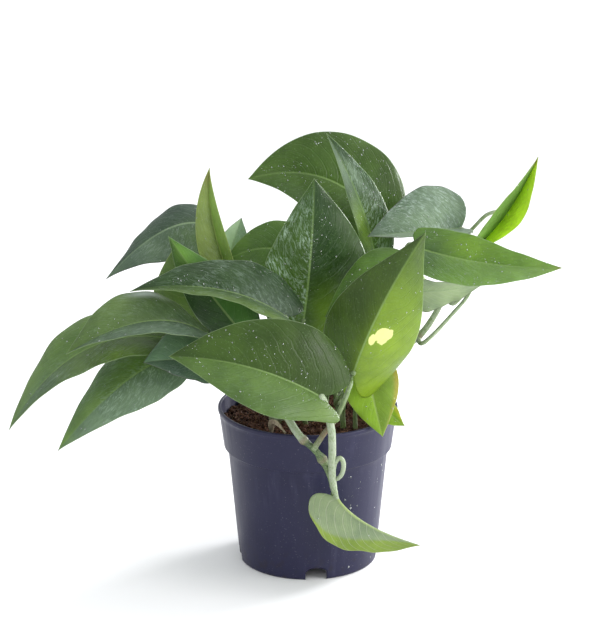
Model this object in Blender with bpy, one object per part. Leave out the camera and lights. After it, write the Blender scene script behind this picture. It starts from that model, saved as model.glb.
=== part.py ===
"""Potted trailing plant: nursery pot, soil, creeping stems, leaf stalks and heart-shaped leaves.

Millimetres in the tables, metres in the scene; +Z up, origin under the middle of the pot.
"""
import math

import bmesh
import bpy
import numpy as np

MM = 0.001

# Pot, turned about Z
RIM_RADIUS = 61.5
POT_HEIGHT = 110.0
BAND_HEIGHT = 28.0
BAND_FOOT_RADIUS = 57.6
WALL_TOP_RADIUS = 54.8
FOOT_RADIUS = 47.2
WALL = 1.4
FLOOR_UNDERSIDE = 9.5
BOSS_RADIUS = 12.0
NOTCH_WIDTH = 14.4
NOTCH_HEIGHT = 9.0
NOTCH_TURN = -83.0
DRAIN_RADIUS = 4.0
DRAIN_CIRCLE = 27.0
POT_STEPS = 48

# Soil plug
SOIL_TOP = 100.0
GAP = 0.4

# Leaf blades
BLADE = 0.7
LOBE = 0.36
CUP = 0.05
ALONG = (0.0, 0.05, 0.14, 0.26, 0.40, 0.55, 0.70, 0.86, 1.0)
ACROSS = (-1.0, -0.68, -0.34, 0.0, 0.34, 0.68, 1.0)
STALK_RADIUS = 1.5

GREEN = (0.075, 0.165, 0.040)
LIME = (0.200, 0.330, 0.060)
SAGE = (0.120, 0.190, 0.120)

# name, colour, stalk end, middle of the midrib, tip, left edge, right edge
LEAVES = (
    ("front_low", GREEN, (8, -88, 147), (-39, -98, 171), (-91, -94, 177), (-22, -118, 144), (-18, -84, 200)),
    ("front_right", GREEN, (30, -60, 154), (49, -72, 206), (77, -56, 250), (12, -50, 187), (74, -50, 179)),
    ("centre", GREEN, (-3, -16, 176), (2, -21, 227), (4, -18, 276), (-22, -18, 233), (29, -10, 242)),
    ("centre_left", GREEN, (-15, -42, 187), (-61, -54, 210), (-117, -68, 213), (-56, -74, 210), (-51, -32, 225)),
    ("left_over", GREEN, (-67, -57, 180), (-107, -74, 194), (-158, -90, 177), (-114, -94, 192), (-123, -62, 210)),
    ("far_left", GREEN, (-96, -50, 175), (-152, -66, 169), (-198, -76, 119), (-147, -82, 163), (-165, -46, 177)),
    ("lower_left", GREEN, (-91, -44, 160), (-126, -58, 143), (-167, -64, 100), (-105, -66, 134), (-140, -42, 149)),
    ("left_inner", SAGE, (-57, -68, 163), (-82, -74, 168), (-108, -80, 168), (-76, -84, 157), (-93, -62, 182)),
    ("inner_left", GREEN, (-44, -28, 171), (-69, -34, 206), (-93, -28, 239), (-82, -32, 198), (-45, -24, 203)),
    ("inner_left_back", LIME, (-61, -14, 165), (-79, -18, 198), (-90, -14, 226), (-103, -12, 199), (-58, -10, 196)),
    ("upright_narrow", LIME, (-51, 0, 196), (-64, 2, 240), (-66, 4, 277), (-75, -5, 229), (-53, -5, 225)),
    ("upper_left", SAGE, (-67, 32, 228), (-98, 20, 228), (-137, 2, 199), (-103, 4, 211), (-97, 42, 237)),
    ("small_pale", SAGE, (-54, 14, 206), (-50, 18, 222), (-45, 22, 237), (-55, 20, 229), (-41, 20, 224)),
    ("behind_centre", GREEN, (-1, 6, 210), (-28, 6, 220), (-56, 2, 212), (-31, -6, 204), (-24, 18, 236)),
    ("top_back", GREEN, (44, 50, 233), (6, 48, 259), (-41, 32, 261), (0, 32, 238), (22, 68, 285)),
    ("top_folded", GREEN, (45, 18, 214), (33, 24, 253), (12, 28, 295), (28, 17, 249), (53, 28, 245)),
    ("right_grey", SAGE, (104, 26, 228), (72, 14, 229), (40, 4, 229), (73, 1, 229), (78, 34, 256)),
    ("right_upper", LIME, (120, 20, 222), (139, 26, 245), (156, 32, 277), (131, 10, 251), (150, 12, 252)),
    ("right_wide", GREEN, (73, -12, 226), (120, -20, 217), (171, -16, 213), (103, -9, 236), (102, -34, 207)),
    ("right_under", SAGE, (65, 0, 192), (91, -4, 194), (120, -2, 198), (88, 4, 178), (90, -16, 204)),
    ("behind_right", GREEN, (60, -32, 219), (36, -38, 209), (11, -40, 186), (49, -44, 185), (36, -24, 224)),
    ("right_drop", LIME, (39, -32, 150), (44, -41, 128), (50, -53, 106), (58, -41, 124), (25, -36, 129)),
    ("right_drop_small", LIME, (49, -26, 124), (56, -33, 115), (65, -42, 110), (61, -31, 117), (56, -41, 110)),
    ("hanging", LIME, (19, -72, 70), (39, -80, 54), (75, -78, 38), (32, -92, 39), (44, -58, 39)),
    ("back_right", GREEN, (40, 52, 190), (66, 82, 186), (88, 108, 160), (78, 60, 172), (44, 96, 172)),
    ("back_left", GREEN, (-30, 50, 192), (-56, 80, 188), (-80, 104, 164), (-34, 94, 174), (-72, 62, 174)),
)

# How far a blade is drawn in beside its stalk, left and right half
PLAIN = (0.0, 0.28)
SLIM = {
    "front_low": ((0.35, 0.25), PLAIN),
    "left_over": ((0.2, 0.28), (0.85, 0.5)), "left_inner": (PLAIN, (0.9, 0.35)), "hanging": (PLAIN, (0.5, 0.28)),
    "right_drop_small": ((0.3, 0.28), (0.3, 0.28)), "right_upper": ((0.2, 0.28), (0.5, 0.3)),
}

# How far the lobes beside the stalk sweep back, left and right half
SWEEP = {"front_low": (2.2, 1.0), "front_right": (0.7, 1.8), "right_wide": (0.8, 0.1), "right_grey": (1.0, 0.5)}


def start_clean():
    for item in list(bpy.data.objects):
        bpy.data.objects.remove(item, do_unlink=True)


def material(name, colour, roughness):
    made = bpy.data.materials.get(name) or bpy.data.materials.new(name)
    made.use_nodes = True
    shader = made.node_tree.nodes["Principled BSDF"]
    shader.inputs["Base Color"].default_value = (*colour, 1.0)
    shader.inputs["Roughness"].default_value = roughness
    return made


def solid(name, points, faces, look):
    """Make one closed body from points in millimetres."""
    mesh = bpy.data.meshes.new(name)
    mesh.from_pydata([tuple(float(c) * MM for c in p) for p in points], [], faces)
    body = bmesh.new()
    body.from_mesh(mesh)
    bmesh.ops.recalc_face_normals(body, faces=body.faces)
    body.to_mesh(mesh)
    body.free()
    for face in mesh.polygons:
        face.use_smooth = True
    mesh.materials.append(look)
    made = bpy.data.objects.new(name, mesh)
    bpy.context.scene.collection.objects.link(made)
    return made


def ring_faces(rings, count):
    """Quads between neighbouring rings of points."""
    faces = []
    for ring in range(rings - 1):
        for k in range(count):
            after = (k + 1) % count
            low, high = ring * count, (ring + 1) * count
            faces.append((low + k, low + after, high + after, high + k))
    return faces


def turned(name, profile, steps, look, lift=None):
    """Turn a profile of (radius, height) about Z; both ends lie on the axis."""
    points, angles = [], [2 * math.pi * k / steps for k in range(steps)]
    for radius, height in profile[1:-1]:
        for a in angles:
            x, y = radius * math.cos(a), radius * math.sin(a)
            points.append((x, y, height if lift is None else lift(x, y, height)))
    rings = len(profile) - 2
    faces = ring_faces(rings, steps)
    first, last = len(points), len(points) + 1
    points.append((0, 0, profile[0][1]))
    points.append((0, 0, profile[-1][1] if lift is None else lift(0, 0, profile[-1][1])))
    for k in range(steps):
        after, top = (k + 1) % steps, (rings - 1) * steps
        faces.append((first, after, k))
        faces.append((last, top + k, top + after))
    return solid(name, points, faces, look)


def pot_profile():
    step = POT_HEIGHT - BAND_HEIGHT
    floor = FLOOR_UNDERSIDE + WALL
    return (
        (0, 0), (BOSS_RADIUS, 0), (BOSS_RADIUS + 1, FLOOR_UNDERSIDE),
        (FOOT_RADIUS - 4.5, FLOOR_UNDERSIDE), (FOOT_RADIUS - 3, 0), (FOOT_RADIUS - 1.2, 0),
        (FOOT_RADIUS - 0.2, 0.7), (FOOT_RADIUS, 2.0),
        (WALL_TOP_RADIUS, step - 1), (BAND_FOOT_RADIUS - 0.4, step), (BAND_FOOT_RADIUS, step + 0.6),
        (RIM_RADIUS - 0.7, POT_HEIGHT - 3), (RIM_RADIUS, POT_HEIGHT - 2.4),
        (RIM_RADIUS, POT_HEIGHT - 0.5), (RIM_RADIUS - 0.5, POT_HEIGHT),
        (RIM_RADIUS - 1.7, POT_HEIGHT), (RIM_RADIUS - 2.1, POT_HEIGHT - 0.6),
        (BAND_FOOT_RADIUS - WALL, step + 2), (WALL_TOP_RADIUS - WALL, step - 1),
        (FOOT_RADIUS - WALL + 1, floor + 1.5), (FOOT_RADIUS - WALL - 0.5, floor), (0, floor),
    )


def arch_cutter(name, turn):
    """Upright arch lying across the foot ring at the given turn about Z."""
    half = NOTCH_WIDTH / 2
    outline = [(-half, -2), (half, -2), (half, NOTCH_HEIGHT - 4)]
    for k in range(1, 8):
        a = math.pi * k / 8
        outline.append((half * math.cos(a), NOTCH_HEIGHT - 4 + 4 * math.sin(a)))
    outline.append((-half, NOTCH_HEIGHT - 4))
    angle = math.radians(turn)
    out, side = (math.cos(angle), math.sin(angle)), (-math.sin(angle), math.cos(angle))
    points = []
    for reach in (FOOT_RADIUS - 6.5, FOOT_RADIUS + 6):
        for across, height in outline:
            points.append((out[0] * reach + side[0] * across, out[1] * reach + side[1] * across, height))
    count = len(outline)
    faces = ring_faces(2, count) + [tuple(range(count)), tuple(range(2 * count - 1, count - 1, -1))]
    return solid(name, points, faces, material("cutter", (1, 1, 1), 0.5))


def drain_cutter(name, turn):
    angle = math.radians(turn)
    x, y = DRAIN_CIRCLE * math.cos(angle), DRAIN_CIRCLE * math.sin(angle)
    points = []
    for height in (FLOOR_UNDERSIDE - 3, FLOOR_UNDERSIDE + WALL + 3):
        for k in range(12):
            a = 2 * math.pi * (k + 0.5) / 12
            points.append((x + DRAIN_RADIUS * math.cos(a), y + DRAIN_RADIUS * math.sin(a), height))
    faces = ring_faces(2, 12) + [tuple(range(12)), tuple(range(23, 11, -1))]
    return solid(name, points, faces, material("cutter", (1, 1, 1), 0.5))


def cut(target, cutter):
    cutter.hide_render = True
    cutter.display_type = "WIRE"
    step = target.modifiers.new(cutter.name, "BOOLEAN")
    step.operation = "DIFFERENCE"
    step.solver = "EXACT"
    step.object = cutter


def build_pot():
    plastic = material("pot_plastic", (0.050, 0.052, 0.095), 0.38)
    pot = turned("pot", pot_profile(), POT_STEPS, plastic)
    for k in range(4):
        cut(pot, arch_cutter(f"notch_{k}", NOTCH_TURN + 90 * k))
    for k in range(6):
        cut(pot, drain_cutter(f"drain_{k}", 60 * k))
    return pot


def soil_height(x, y):
    """Lumpy soil surface."""
    return SOIL_TOP + 0.6 * math.sin(x / 9.0 + 1.0) * math.cos(y / 11.0) + 0.4 * math.sin(y / 7.0 - x / 14.0)


def build_soil():
    look = material("soil", (0.085, 0.040, 0.025), 0.95)
    step = POT_HEIGHT - BAND_HEIGHT
    floor = FLOOR_UNDERSIDE + WALL + GAP
    inner = WALL + GAP + 0.1
    top = SOIL_TOP - 1.5
    slope = (RIM_RADIUS - 2.1 - BAND_FOOT_RADIUS + WALL) / (BAND_HEIGHT - 2.6)
    edge = BAND_FOOT_RADIUS - WALL - GAP - 0.2 + slope * (top - step - 2)
    profile = (
        (0, floor), (FOOT_RADIUS - inner - 1.2, floor), (FOOT_RADIUS - inner + 0.6, floor + 2.4),
        (WALL_TOP_RADIUS - inner - 0.2, step - 1), (BAND_FOOT_RADIUS - inner - 0.2, step + 2.6),
        (edge, top), (edge * 0.86, SOIL_TOP), (edge * 0.65, SOIL_TOP),
        (edge * 0.43, SOIL_TOP), (edge * 0.21, SOIL_TOP), (0, SOIL_TOP),
    )

    def lift(x, y, height):
        return soil_height(x, y) if height == SOIL_TOP else height

    return turned("soil", profile, 40, look, lift)


def smooth_path(points, per_span):
    """Catmull-Rom curve through the points."""
    pts = [np.array(p, float) for p in points]
    pts = [2 * pts[0] - pts[1]] + pts + [2 * pts[-1] - pts[-2]]
    path = []
    for k in range(1, len(pts) - 2):
        a, b, c, d = pts[k - 1:k + 3]
        for j in range(per_span):
            t = j / per_span
            path.append(0.5 * (2 * b + (c - a) * t + (2 * a - 5 * b + 4 * c - d) * t * t
                               + (3 * b - a - 3 * c + d) * t ** 3))
    path.append(pts[-2])
    return path


def unit(v):
    return v / max(float(np.linalg.norm(v)), 1e-9)


def tube(name, path, radii, sides, look):
    """Round stem along a path, capped at both ends."""
    count = len(path)
    tangents = [unit(path[min(k + 1, count - 1)] - path[max(k - 1, 0)]) for k in range(count)]
    side = unit(np.cross(tangents[0], np.array((0.31, 0.87, 0.38))))
    points = []
    for k in range(count):
        side = unit(side - tangents[k] * float(side @ tangents[k]))
        other = np.cross(tangents[k], side)
        radius = float(np.interp(k / (count - 1), *zip(*radii)))
        for j in range(sides):
            a = 2 * math.pi * j / sides
            points.append(path[k] + (side * math.cos(a) + other * math.sin(a)) * radius)
    faces = ring_faces(count, sides)
    faces.append(tuple(range(sides)))
    faces.append(tuple(range(count * sides - 1, (count - 1) * sides - 1, -1)))
    return solid(name, points, faces, look)


def midrib(leaf, t):
    base, middle, tip = leaf
    bend = 2 * middle - (base + tip) / 2
    return (1 - t) ** 2 * base + 2 * t * (1 - t) * bend + t * t * tip


def midrib_direction(leaf, t):
    base, middle, tip = leaf
    bend = 2 * middle - (base + tip) / 2
    return unit(2 * (1 - t) * (bend - base) + 2 * t * (tip - bend))


def outline(t, slim=PLAIN):
    """Half width of a heart-shaped blade, 1.0 at its widest; slim draws it in beside the stalk."""
    return (t + 0.09) ** 0.5 * (1 - t) ** 1.1 / 0.4295 * (1 - slim[0] * math.exp(-(t / slim[1]) ** 2))


def lobe(t, a):
    """How far the blade sweeps back beside the stalk, 0 at the midrib."""
    return (1 - t) ** 4 * (1 - ((a - 0.62) / 0.62) ** 2)


def half_blade(leaf, across_ref, edge, sign, slim):
    """Reach and lift angle that carry one half of the blade to its edge point."""
    trial = [0.1 + 0.02 * k for k in range(34)]
    where = min(trial, key=lambda t: float(np.linalg.norm(edge - midrib(leaf, t))))
    across, normal = blade_frame(leaf, across_ref, where)
    reach = edge - midrib(leaf, where)
    sideways, lifted = sign * float(reach @ across), float(reach @ normal)
    return math.hypot(sideways, lifted) / outline(where, slim), math.atan2(lifted, sideways)


def blade_frame(leaf, across_ref, t):
    direction = midrib_direction(leaf, t)
    across = unit(across_ref - direction * float(across_ref @ direction))
    return across, np.cross(direction, across)


def blade_grid(leaf, left, right, slims, sweeps):
    """Rows of middle-surface points from the stalk end to the tip."""
    across_ref = unit(left - right)
    halves = {1: half_blade(leaf, across_ref, left, 1, slims[0]), -1: half_blade(leaf, across_ref, right, -1, slims[1])}
    rows = []
    for t in ALONG:
        across, normal = blade_frame(leaf, across_ref, t)
        direction, row = midrib_direction(leaf, t), []
        for s in ACROSS:
            sign = 1 if s >= 0 else -1
            reach, angle = halves[sign]
            out = across * sign * math.cos(angle) + normal * math.sin(angle)
            slim, sweep = (slims[0], sweeps[0]) if s >= 0 else (slims[1], sweeps[1])
            a, width = abs(s), reach * outline(t, slim)
            point = midrib(leaf, t) + out * width * a
            point = point + normal * CUP * 4 * (a - a * a) * width
            point = point - direction * LOBE * sweep * reach * (1 - slim[0]) * lobe(t, a)
            row.append(point)
        rows.append(row)
    return rows


def grid_normal(rows, i, j):
    last_i, last_j = len(rows) - 2, len(rows[0]) - 1
    along = rows[min(i + 1, last_i)][j] - rows[max(i - 1, 0)][j]
    over = rows[i][min(j + 1, last_j)] - rows[i][max(j - 1, 0)]
    return unit(np.cross(along, over))


def build_blade(name, look, base, middle, tip, left, right):
    """Thin closed blade: upper skin, lower skin and the rim between them."""
    leaf = (np.array(base, float), np.array(middle, float), np.array(tip, float))
    slims, sweeps = SLIM.get(name, (PLAIN, PLAIN)), SWEEP.get(name, (1.0, 1.0))
    rows = blade_grid(leaf, np.array(left, float), np.array(right, float), slims, sweeps)
    columns, full = len(ACROSS), len(ALONG) - 1
    points = []
    for side in (0.5, -0.5):
        for i in range(full):
            for j in range(columns):
                points.append(rows[i][j] + grid_normal(rows, i, j) * BLADE * side)
        points.append(leaf[2] + grid_normal(rows, full - 1, columns // 2) * BLADE * side * 0.6)
    skin = full * columns + 1
    faces = []
    for start in (0, skin):
        for i in range(full - 1):
            for j in range(columns - 1):
                a = start + i * columns + j
                faces.append((a, a + 1, a + columns + 1, a + columns))
        a = start + (full - 1) * columns
        faces += [(a + j, a + j + 1, start + skin - 1) for j in range(columns - 1)]
    edge = list(range(columns)) + [i * columns + columns - 1 for i in range(1, full)] + [skin - 1]
    edge += [i * columns for i in range(full - 1, 0, -1)]
    for k in range(len(edge)):
        a, b = edge[k], edge[(k + 1) % len(edge)]
        faces.append((a, b, b + skin, a + skin))
    return solid(f"leaf_{name}", points, faces, look)


# Creeping stems: name, sides, path (height None = on the soil), radius along the path
STEMS = (
    ("main_vine", 8, ((-24, -16, None), (-21, -32, 112), (-15, -48, 119), (-9, -63, 116), (-4, -67, 110),
                      (4, -68, 103), (10, -67, 94), (14, -67, 86), (16, -68, 81), (17, -69.5, 76)),
     ((0, 2.6), (0.55, 2.6), (0.6, 3.1), (0.65, 2.6), (0.93, 2.6), (1, 1.0))),
    ("left_stem", 8, ((-20, -6, None), (-28, -16, 124), (-40, -27, 142), (-54, -36, 155)), ((0, 3.0), (1, 2.4))),
    ("right_stem", 8, ((22, -2, None), (34, -2, 124), (56, 0, 144), (76, 6, 158), (87, 14, 171), (95, 21, 186)),
     ((0, 3.0), (1, 2.2))),
    ("back_stem", 8, ((0, 18, None), (-2, 24, 128), (2, 30, 152), (6, 34, 168)), ((0, 3.0), (1, 2.4))),
    ("curled_shoot", 6, ((21, -72, 97), (24, -72, 98), (26, -73, 92), (24, -73, 85), (20.5, -72, 86)),
     ((0, 1.6), (0.5, 1.5), (1, 1.0))),
)

# Leaf stalks: radius, start on a stem (name, share) or on the soil (x, y), points passed on the way
STALKS = {
    "front_low": (2.7, (16, -74.8, 88), (16, -75.4, 97), (16, -76, 110), (15, -79, 123)),
    "front_right": (1.7, (6, -69.5, 107.5), (11, -69, 115), (18, -68, 124), (25, -70, 141), (28, -69, 150)),
    "centre": (1.5, (-2, -12), (-2, -20, 140)),
    "centre_left": (1.5, ("left_stem", 0.35), (-20, -34, 165)),
    "left_over": (1.5, ("left_stem", 0.96), (-52, -40, 172)),
    "far_left": (1.5, ("left_stem", 0.9), (-76, -40, 168)),
    "lower_left": (1.5, ("left_stem", 0.8), (-70, -36, 156)),
    "left_inner": (1.5, ("left_stem", 0.5), (-36, -44, 160)),
    "inner_left": (1.5, ("left_stem", 0.25), (-34, -16, 148)),
    "inner_left_back": (1.5, (-24, 6), (-44, 0, 135)),
    "upright_narrow": (1.5, (-12, 2), (-38, -4, 165)),
    "upper_left": (1.5, ("back_stem", 0.55), (-28, 34, 185)),
    "small_pale": (1.3, (-14, 16), (-42, 10, 170)),
    "behind_centre": (1.5, (4, 6), (6, 8, 165)),
    "top_back": (1.5, ("back_stem", 0.97), (22, 38, 206)),
    "top_folded": (1.5, (14, 8), (36, 10, 175)),
    "right_grey": (1.4, ("right_stem", 0.97), (129, 34, 222), (132, 38, 235), (122, 35, 235)),
    "right_upper": (1.4, ("right_stem", 0.66), (97, 6, 172), (111, 9, 191)),
    "right_wide": (1.5, ("right_stem", 0.3), (40, -12, 150), (56, -14, 195)),
    "right_under": (1.5, ("right_stem", 0.42), (56, 2, 170)),
    "behind_right": (1.5, ("right_stem", 0.22), (38, -16, 145), (54, -28, 190)),
    "right_drop": (1.5, (24, -20), (30, -22, 158)),
    "right_drop_small": (1.3, (32, -22), (34, -28, 128)),
    "back_right": (1.5, (20, 24), (28, 38, 150)),
    "back_left": (1.5, (-14, 34), (-18, 38, 150)),
}


def stem_path(points):
    first = points[0]
    if first[2] is None:
        foot = soil_height(*first[:2]) + 1.3
        points = ((*first[:2], foot), (*first[:2], foot + 9)) + tuple(points[1:])
    return smooth_path(points, 4)


def build_stems(look):
    paths = {}
    for name, sides, points, radii in STEMS:
        paths[name] = (stem_path(points), radii)
        tube(name, paths[name][0], radii, sides, look)
    return paths


def stalk_start(start, toward, stems):
    """First two points of a stalk, standing clear of the stem or soil it grows from."""
    if isinstance(start[0], str):
        path, radii = stems[start[0]]
        k = min(int(start[1] * (len(path) - 1)), len(path) - 2)
        run = unit(path[k + 1] - path[k])
        out = toward - path[k]
        out = unit(out - run * float(out @ run))
        radius = float(np.interp(start[1], *zip(*radii)))
        return [path[k] + out * (radius + 0.9), path[k] + out * (radius + 8)]
    if len(start) == 3:
        return [np.array(start, float)]
    foot = soil_height(*start) + 1.3
    return [np.array((*start, foot)), np.array((*start, foot + 16))]


def build_stalk(name, look, stems, leaf, left, right):
    """Leaf stalk ending just short of the blade."""
    radius, start, *way = STALKS[name]
    way = [np.array(p, float) for p in way]
    direction = midrib_direction(leaf, 0.0)
    normal = blade_frame(leaf, unit(np.array(left, float) - np.array(right, float)), 0.0)[1]
    end = leaf[0] - direction * 1.7
    behind = leaf[0] - direction * 8 - normal * 6
    path = smooth_path(stalk_start(start, way[0], stems) + way + [behind, end], 2)
    shares = ((0, radius * 0.8), (0.1, radius * 1.15), (0.3, radius), (0.93, radius), (1, 0.7))
    tube(f"stalk_{name}", path, shares, 6, look)


def build_leaves(stems, stem_look):
    looks = {GREEN: "leaf_green", LIME: "leaf_lime", SAGE: "leaf_sage"}
    for name, colour, base, middle, tip, left, right in LEAVES:
        build_blade(name, material(looks[colour], colour, 0.35), base, middle, tip, left, right)
        if name in STALKS:
            leaf = tuple(np.array(p, float) for p in (base, middle, tip))
            build_stalk(name, stem_look, stems, leaf, left, right)


start_clean()
build_pot()
build_soil()
stem_green = material("stem", (0.165, 0.255, 0.075), 0.5)
build_leaves(build_stems(stem_green), stem_green)
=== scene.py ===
# Potted pothos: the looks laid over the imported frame. Tables are in millimetres, the scene in metres.
import math

import bmesh
import bpy
import numpy as np
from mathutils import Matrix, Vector, noise


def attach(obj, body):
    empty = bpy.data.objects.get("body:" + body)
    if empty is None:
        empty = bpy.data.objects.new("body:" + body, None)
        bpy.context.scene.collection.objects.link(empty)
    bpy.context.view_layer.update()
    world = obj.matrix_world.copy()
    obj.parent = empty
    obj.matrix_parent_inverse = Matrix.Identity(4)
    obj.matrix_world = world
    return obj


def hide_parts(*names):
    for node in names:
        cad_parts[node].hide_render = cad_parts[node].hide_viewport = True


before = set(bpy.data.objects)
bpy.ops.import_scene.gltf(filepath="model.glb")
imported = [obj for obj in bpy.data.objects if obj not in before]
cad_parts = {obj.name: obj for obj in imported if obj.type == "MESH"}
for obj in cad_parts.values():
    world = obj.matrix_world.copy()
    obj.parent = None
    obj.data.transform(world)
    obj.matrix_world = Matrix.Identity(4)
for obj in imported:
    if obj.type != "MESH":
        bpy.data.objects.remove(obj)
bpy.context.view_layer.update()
mm = 0.001
print("frame loaded,", len(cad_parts), "CAD nodes")


# camera, lights and floor

studio = {
    "eye": (-0.0054, -2.0899, 0.8582),
    "target": (-0.0054, 0.0, 0.171),
    "lens": 182.5, "sensor": 36,
    "world": (0.95, 0.97, 1.0), "worldPower": 1.0,
    "floor": (0.93, 0.93, 0.93), "floorReach": 15, "floorRough": 0.9, "floorGloss": 0.1,
    "lampAim": (0, 0, 0.15),
    # name, from which side, strength, softness in degrees
    "suns": (("keyRight", (0.75, 0.35, 1.25), 0.7, 50), ("fillFront", (-0.5, -1.0, 0.9), 0.35, 70)),
    # name, place, size, watts, colour
    "lamps": (
        ("softboxRight", (0.85, -0.40, 0.40), 0.5, 6.0, (1.0, 0.98, 1.0)),
        ("softboxBack", (0.62, 0.50, 0.30), 0.28, 8.0, (0.98, 0.98, 1.0)),
    ),
}


def aimAt(item, target):
    away = Vector(target) - item.location
    item.rotation_euler = away.to_track_quat("-Z", "Y").to_euler()


def setStudio(facts):
    scene = bpy.context.scene
    camera = bpy.data.objects.new("camera", bpy.data.cameras.new("camera"))
    camera.location = facts["eye"]
    camera.data.lens = facts["lens"]
    camera.data.sensor_width = facts["sensor"]
    camera.data.clip_end = 60
    scene.collection.objects.link(camera)
    aimAt(camera, facts["target"])
    scene.camera = camera
    for name, place, size, watts, colour in facts["lamps"]:
        lamp = bpy.data.objects.new(name, bpy.data.lights.new(name, "AREA"))
        lamp.data.shape = "DISK"
        lamp.data.size = size
        lamp.data.energy = watts
        lamp.data.color = colour
        lamp.location = place
        scene.collection.objects.link(lamp)
        aimAt(lamp, facts["lampAim"])
    for name, side, strength, softness in facts["suns"]:
        sun = bpy.data.objects.new(name, bpy.data.lights.new(name, "SUN"))
        sun.data.energy = strength
        sun.data.angle = math.radians(softness)
        sun.location = side
        scene.collection.objects.link(sun)
        aimAt(sun, (0, 0, 0))
    world = bpy.data.worlds.new("studioWhite")
    world.use_nodes = True
    sky = world.node_tree.nodes["Background"]
    sky.inputs[0].default_value = (*facts["world"], 1)
    sky.inputs[1].default_value = facts["worldPower"]
    scene.world = world
    scene.view_settings.view_transform = "Standard"
    mesh = bpy.data.meshes.new("floor")
    far = facts["floorReach"]
    mesh.from_pydata([(-far, -far, 0), (far, -far, 0), (far, far, 0), (-far, far, 0)], [], [(0, 1, 2, 3)])
    floor = bpy.data.objects.new("floor", mesh)
    scene.collection.objects.link(floor)
    paint = bpy.data.materials.new("paleFloor")
    paint.use_nodes = True
    coat = paint.node_tree.nodes["Principled BSDF"]
    coat.inputs["Base Color"].default_value = (*facts["floor"], 1)
    coat.inputs["Roughness"].default_value = facts["floorRough"]
    coat.inputs["Specular IOR Level"].default_value = facts["floorGloss"]
    mesh.materials.append(paint)


setStudio(studio)
print("studio set")


# node helpers

# Link a socket, or set a plain value on it
def plug(tree, socket, value):
    if isinstance(value, bpy.types.NodeSocket):
        tree.links.new(value, socket)
    elif isinstance(value, tuple) and len(value) == 3 and socket.type == "RGBA":
        socket.default_value = (*value, 1)
    elif value is not None:
        socket.default_value = value


def addNode(tree, kind, inputs=(), **settings):
    node = tree.nodes.new(kind)
    for key, value in settings.items():
        setattr(node, key, value)
    for key, value in dict(inputs).items():
        plug(tree, node.inputs[key], value)
    return node


def calc(tree, operation, first, second=None, third=None):
    node = addNode(tree, "ShaderNodeMath", operation=operation)
    for socket, value in zip(node.inputs, (first, second, third)):
        plug(tree, socket, value)
    return node.outputs[0]


def times(tree, first, second):
    return calc(tree, "MULTIPLY", first, second)


def plus(tree, first, second):
    return calc(tree, "ADD", first, second)


def minus(tree, first, second):
    return calc(tree, "SUBTRACT", first, second)


def fromMiddle(tree, value):
    return calc(tree, "ABSOLUTE", minus(tree, value, 0.5))


def blend(tree, share, first, second, mode="MIX"):
    node = addNode(tree, "ShaderNodeMix", {0: share}, data_type="RGBA", blend_type=mode)
    plug(tree, node.inputs[6], first)
    plug(tree, node.inputs[7], second)
    return node.outputs[2]


def tinted(tree, colour, tint):
    return blend(tree, 1.0, colour, tint, "MULTIPLY")


def remap(tree, value, low, high, toLow=0.0, toHigh=1.0):
    node = addNode(tree, "ShaderNodeMapRange", {0: value, 1: low, 2: high, 3: toLow, 4: toHigh},
                   interpolation_type="SMOOTHSTEP")
    return node.outputs[0]


def cloud(tree, vector, scale, detail=3.0, rough=0.5, twist=0.0):
    node = addNode(tree, "ShaderNodeTexNoise", {"Vector": vector, "Scale": scale, "Detail": detail,
                                                "Roughness": rough, "Distortion": twist})
    return node.outputs[0]


def vector3(tree, x, y, z=0.0):
    node = addNode(tree, "ShaderNodeCombineXYZ")
    for socket, value in zip(node.inputs, (x, y, z)):
        plug(tree, socket, value)
    return node.outputs[0]


def readMark(tree, name, colour=False):
    node = addNode(tree, "ShaderNodeAttribute", attribute_name=name)
    return node.outputs["Color" if colour else "Fac"]


def newLook(name):
    look = bpy.data.materials.new(name)
    look.use_nodes = True
    tree = look.node_tree
    return look, tree, tree.nodes["Principled BSDF"], addNode(tree, "ShaderNodeTexCoord").outputs["Object"]


# Link the colour, roughness and relief of a look
def dress(tree, shader, colour, rough, normal=None):
    for label, value in (("Base Color", colour), ("Roughness", rough), ("Normal", normal)):
        plug(tree, shader.inputs[label], value)


def relief(tree, height, depth, strength=1.0):
    return addNode(tree, "ShaderNodeBump",
                   {"Height": height, "Distance": depth, "Strength": strength}).outputs[0]


def newTree(name, inputs):
    tree = bpy.data.node_groups.new(name, "GeometryNodeTree")
    tree.interface.new_socket("Geometry", in_out="INPUT", socket_type="NodeSocketGeometry")
    tree.interface.new_socket("Geometry", in_out="OUTPUT", socket_type="NodeSocketGeometry")
    kinds = {int: "NodeSocketInt", float: "NodeSocketFloat", bpy.types.Material: "NodeSocketMaterial"}
    for label, value in inputs.items():
        socket = tree.interface.new_socket(label, in_out="INPUT", socket_type=kinds[type(value)])
        socket.default_value = value
    return tree, addNode(tree, "NodeGroupInput"), addNode(tree, "NodeGroupOutput")


# Every tree closes with real meshes, smooth shading and its material
def finishTree(tree, end, geometry, finish):
    smooth = addNode(tree, "GeometryNodeSetShadeSmooth", {0: geometry})
    real = addNode(tree, "GeometryNodeRealizeInstances", {0: smooth.outputs[0]})
    painted = addNode(tree, "GeometryNodeSetMaterial", {"Geometry": real.outputs[0], "Material": finish})
    plug(tree, end.inputs[0], painted.outputs[0])


# Run a tree on a mesh and keep the plain result
def grow(name, mesh, tree, values):
    maker = bpy.data.objects.new(name + "Maker", mesh)
    bpy.context.scene.collection.objects.link(maker)
    step = maker.modifiers.new("grow", "NODES")
    step.node_group = tree
    for item in tree.interface.items_tree:
        if item.in_out == "INPUT" and item.name in values:
            step[item.identifier] = values[item.name]
    graph = bpy.context.evaluated_depsgraph_get()
    made = bpy.data.meshes.new_from_object(maker.evaluated_get(graph))
    bpy.data.objects.remove(maker, do_unlink=True)
    made.name = name
    return made


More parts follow.
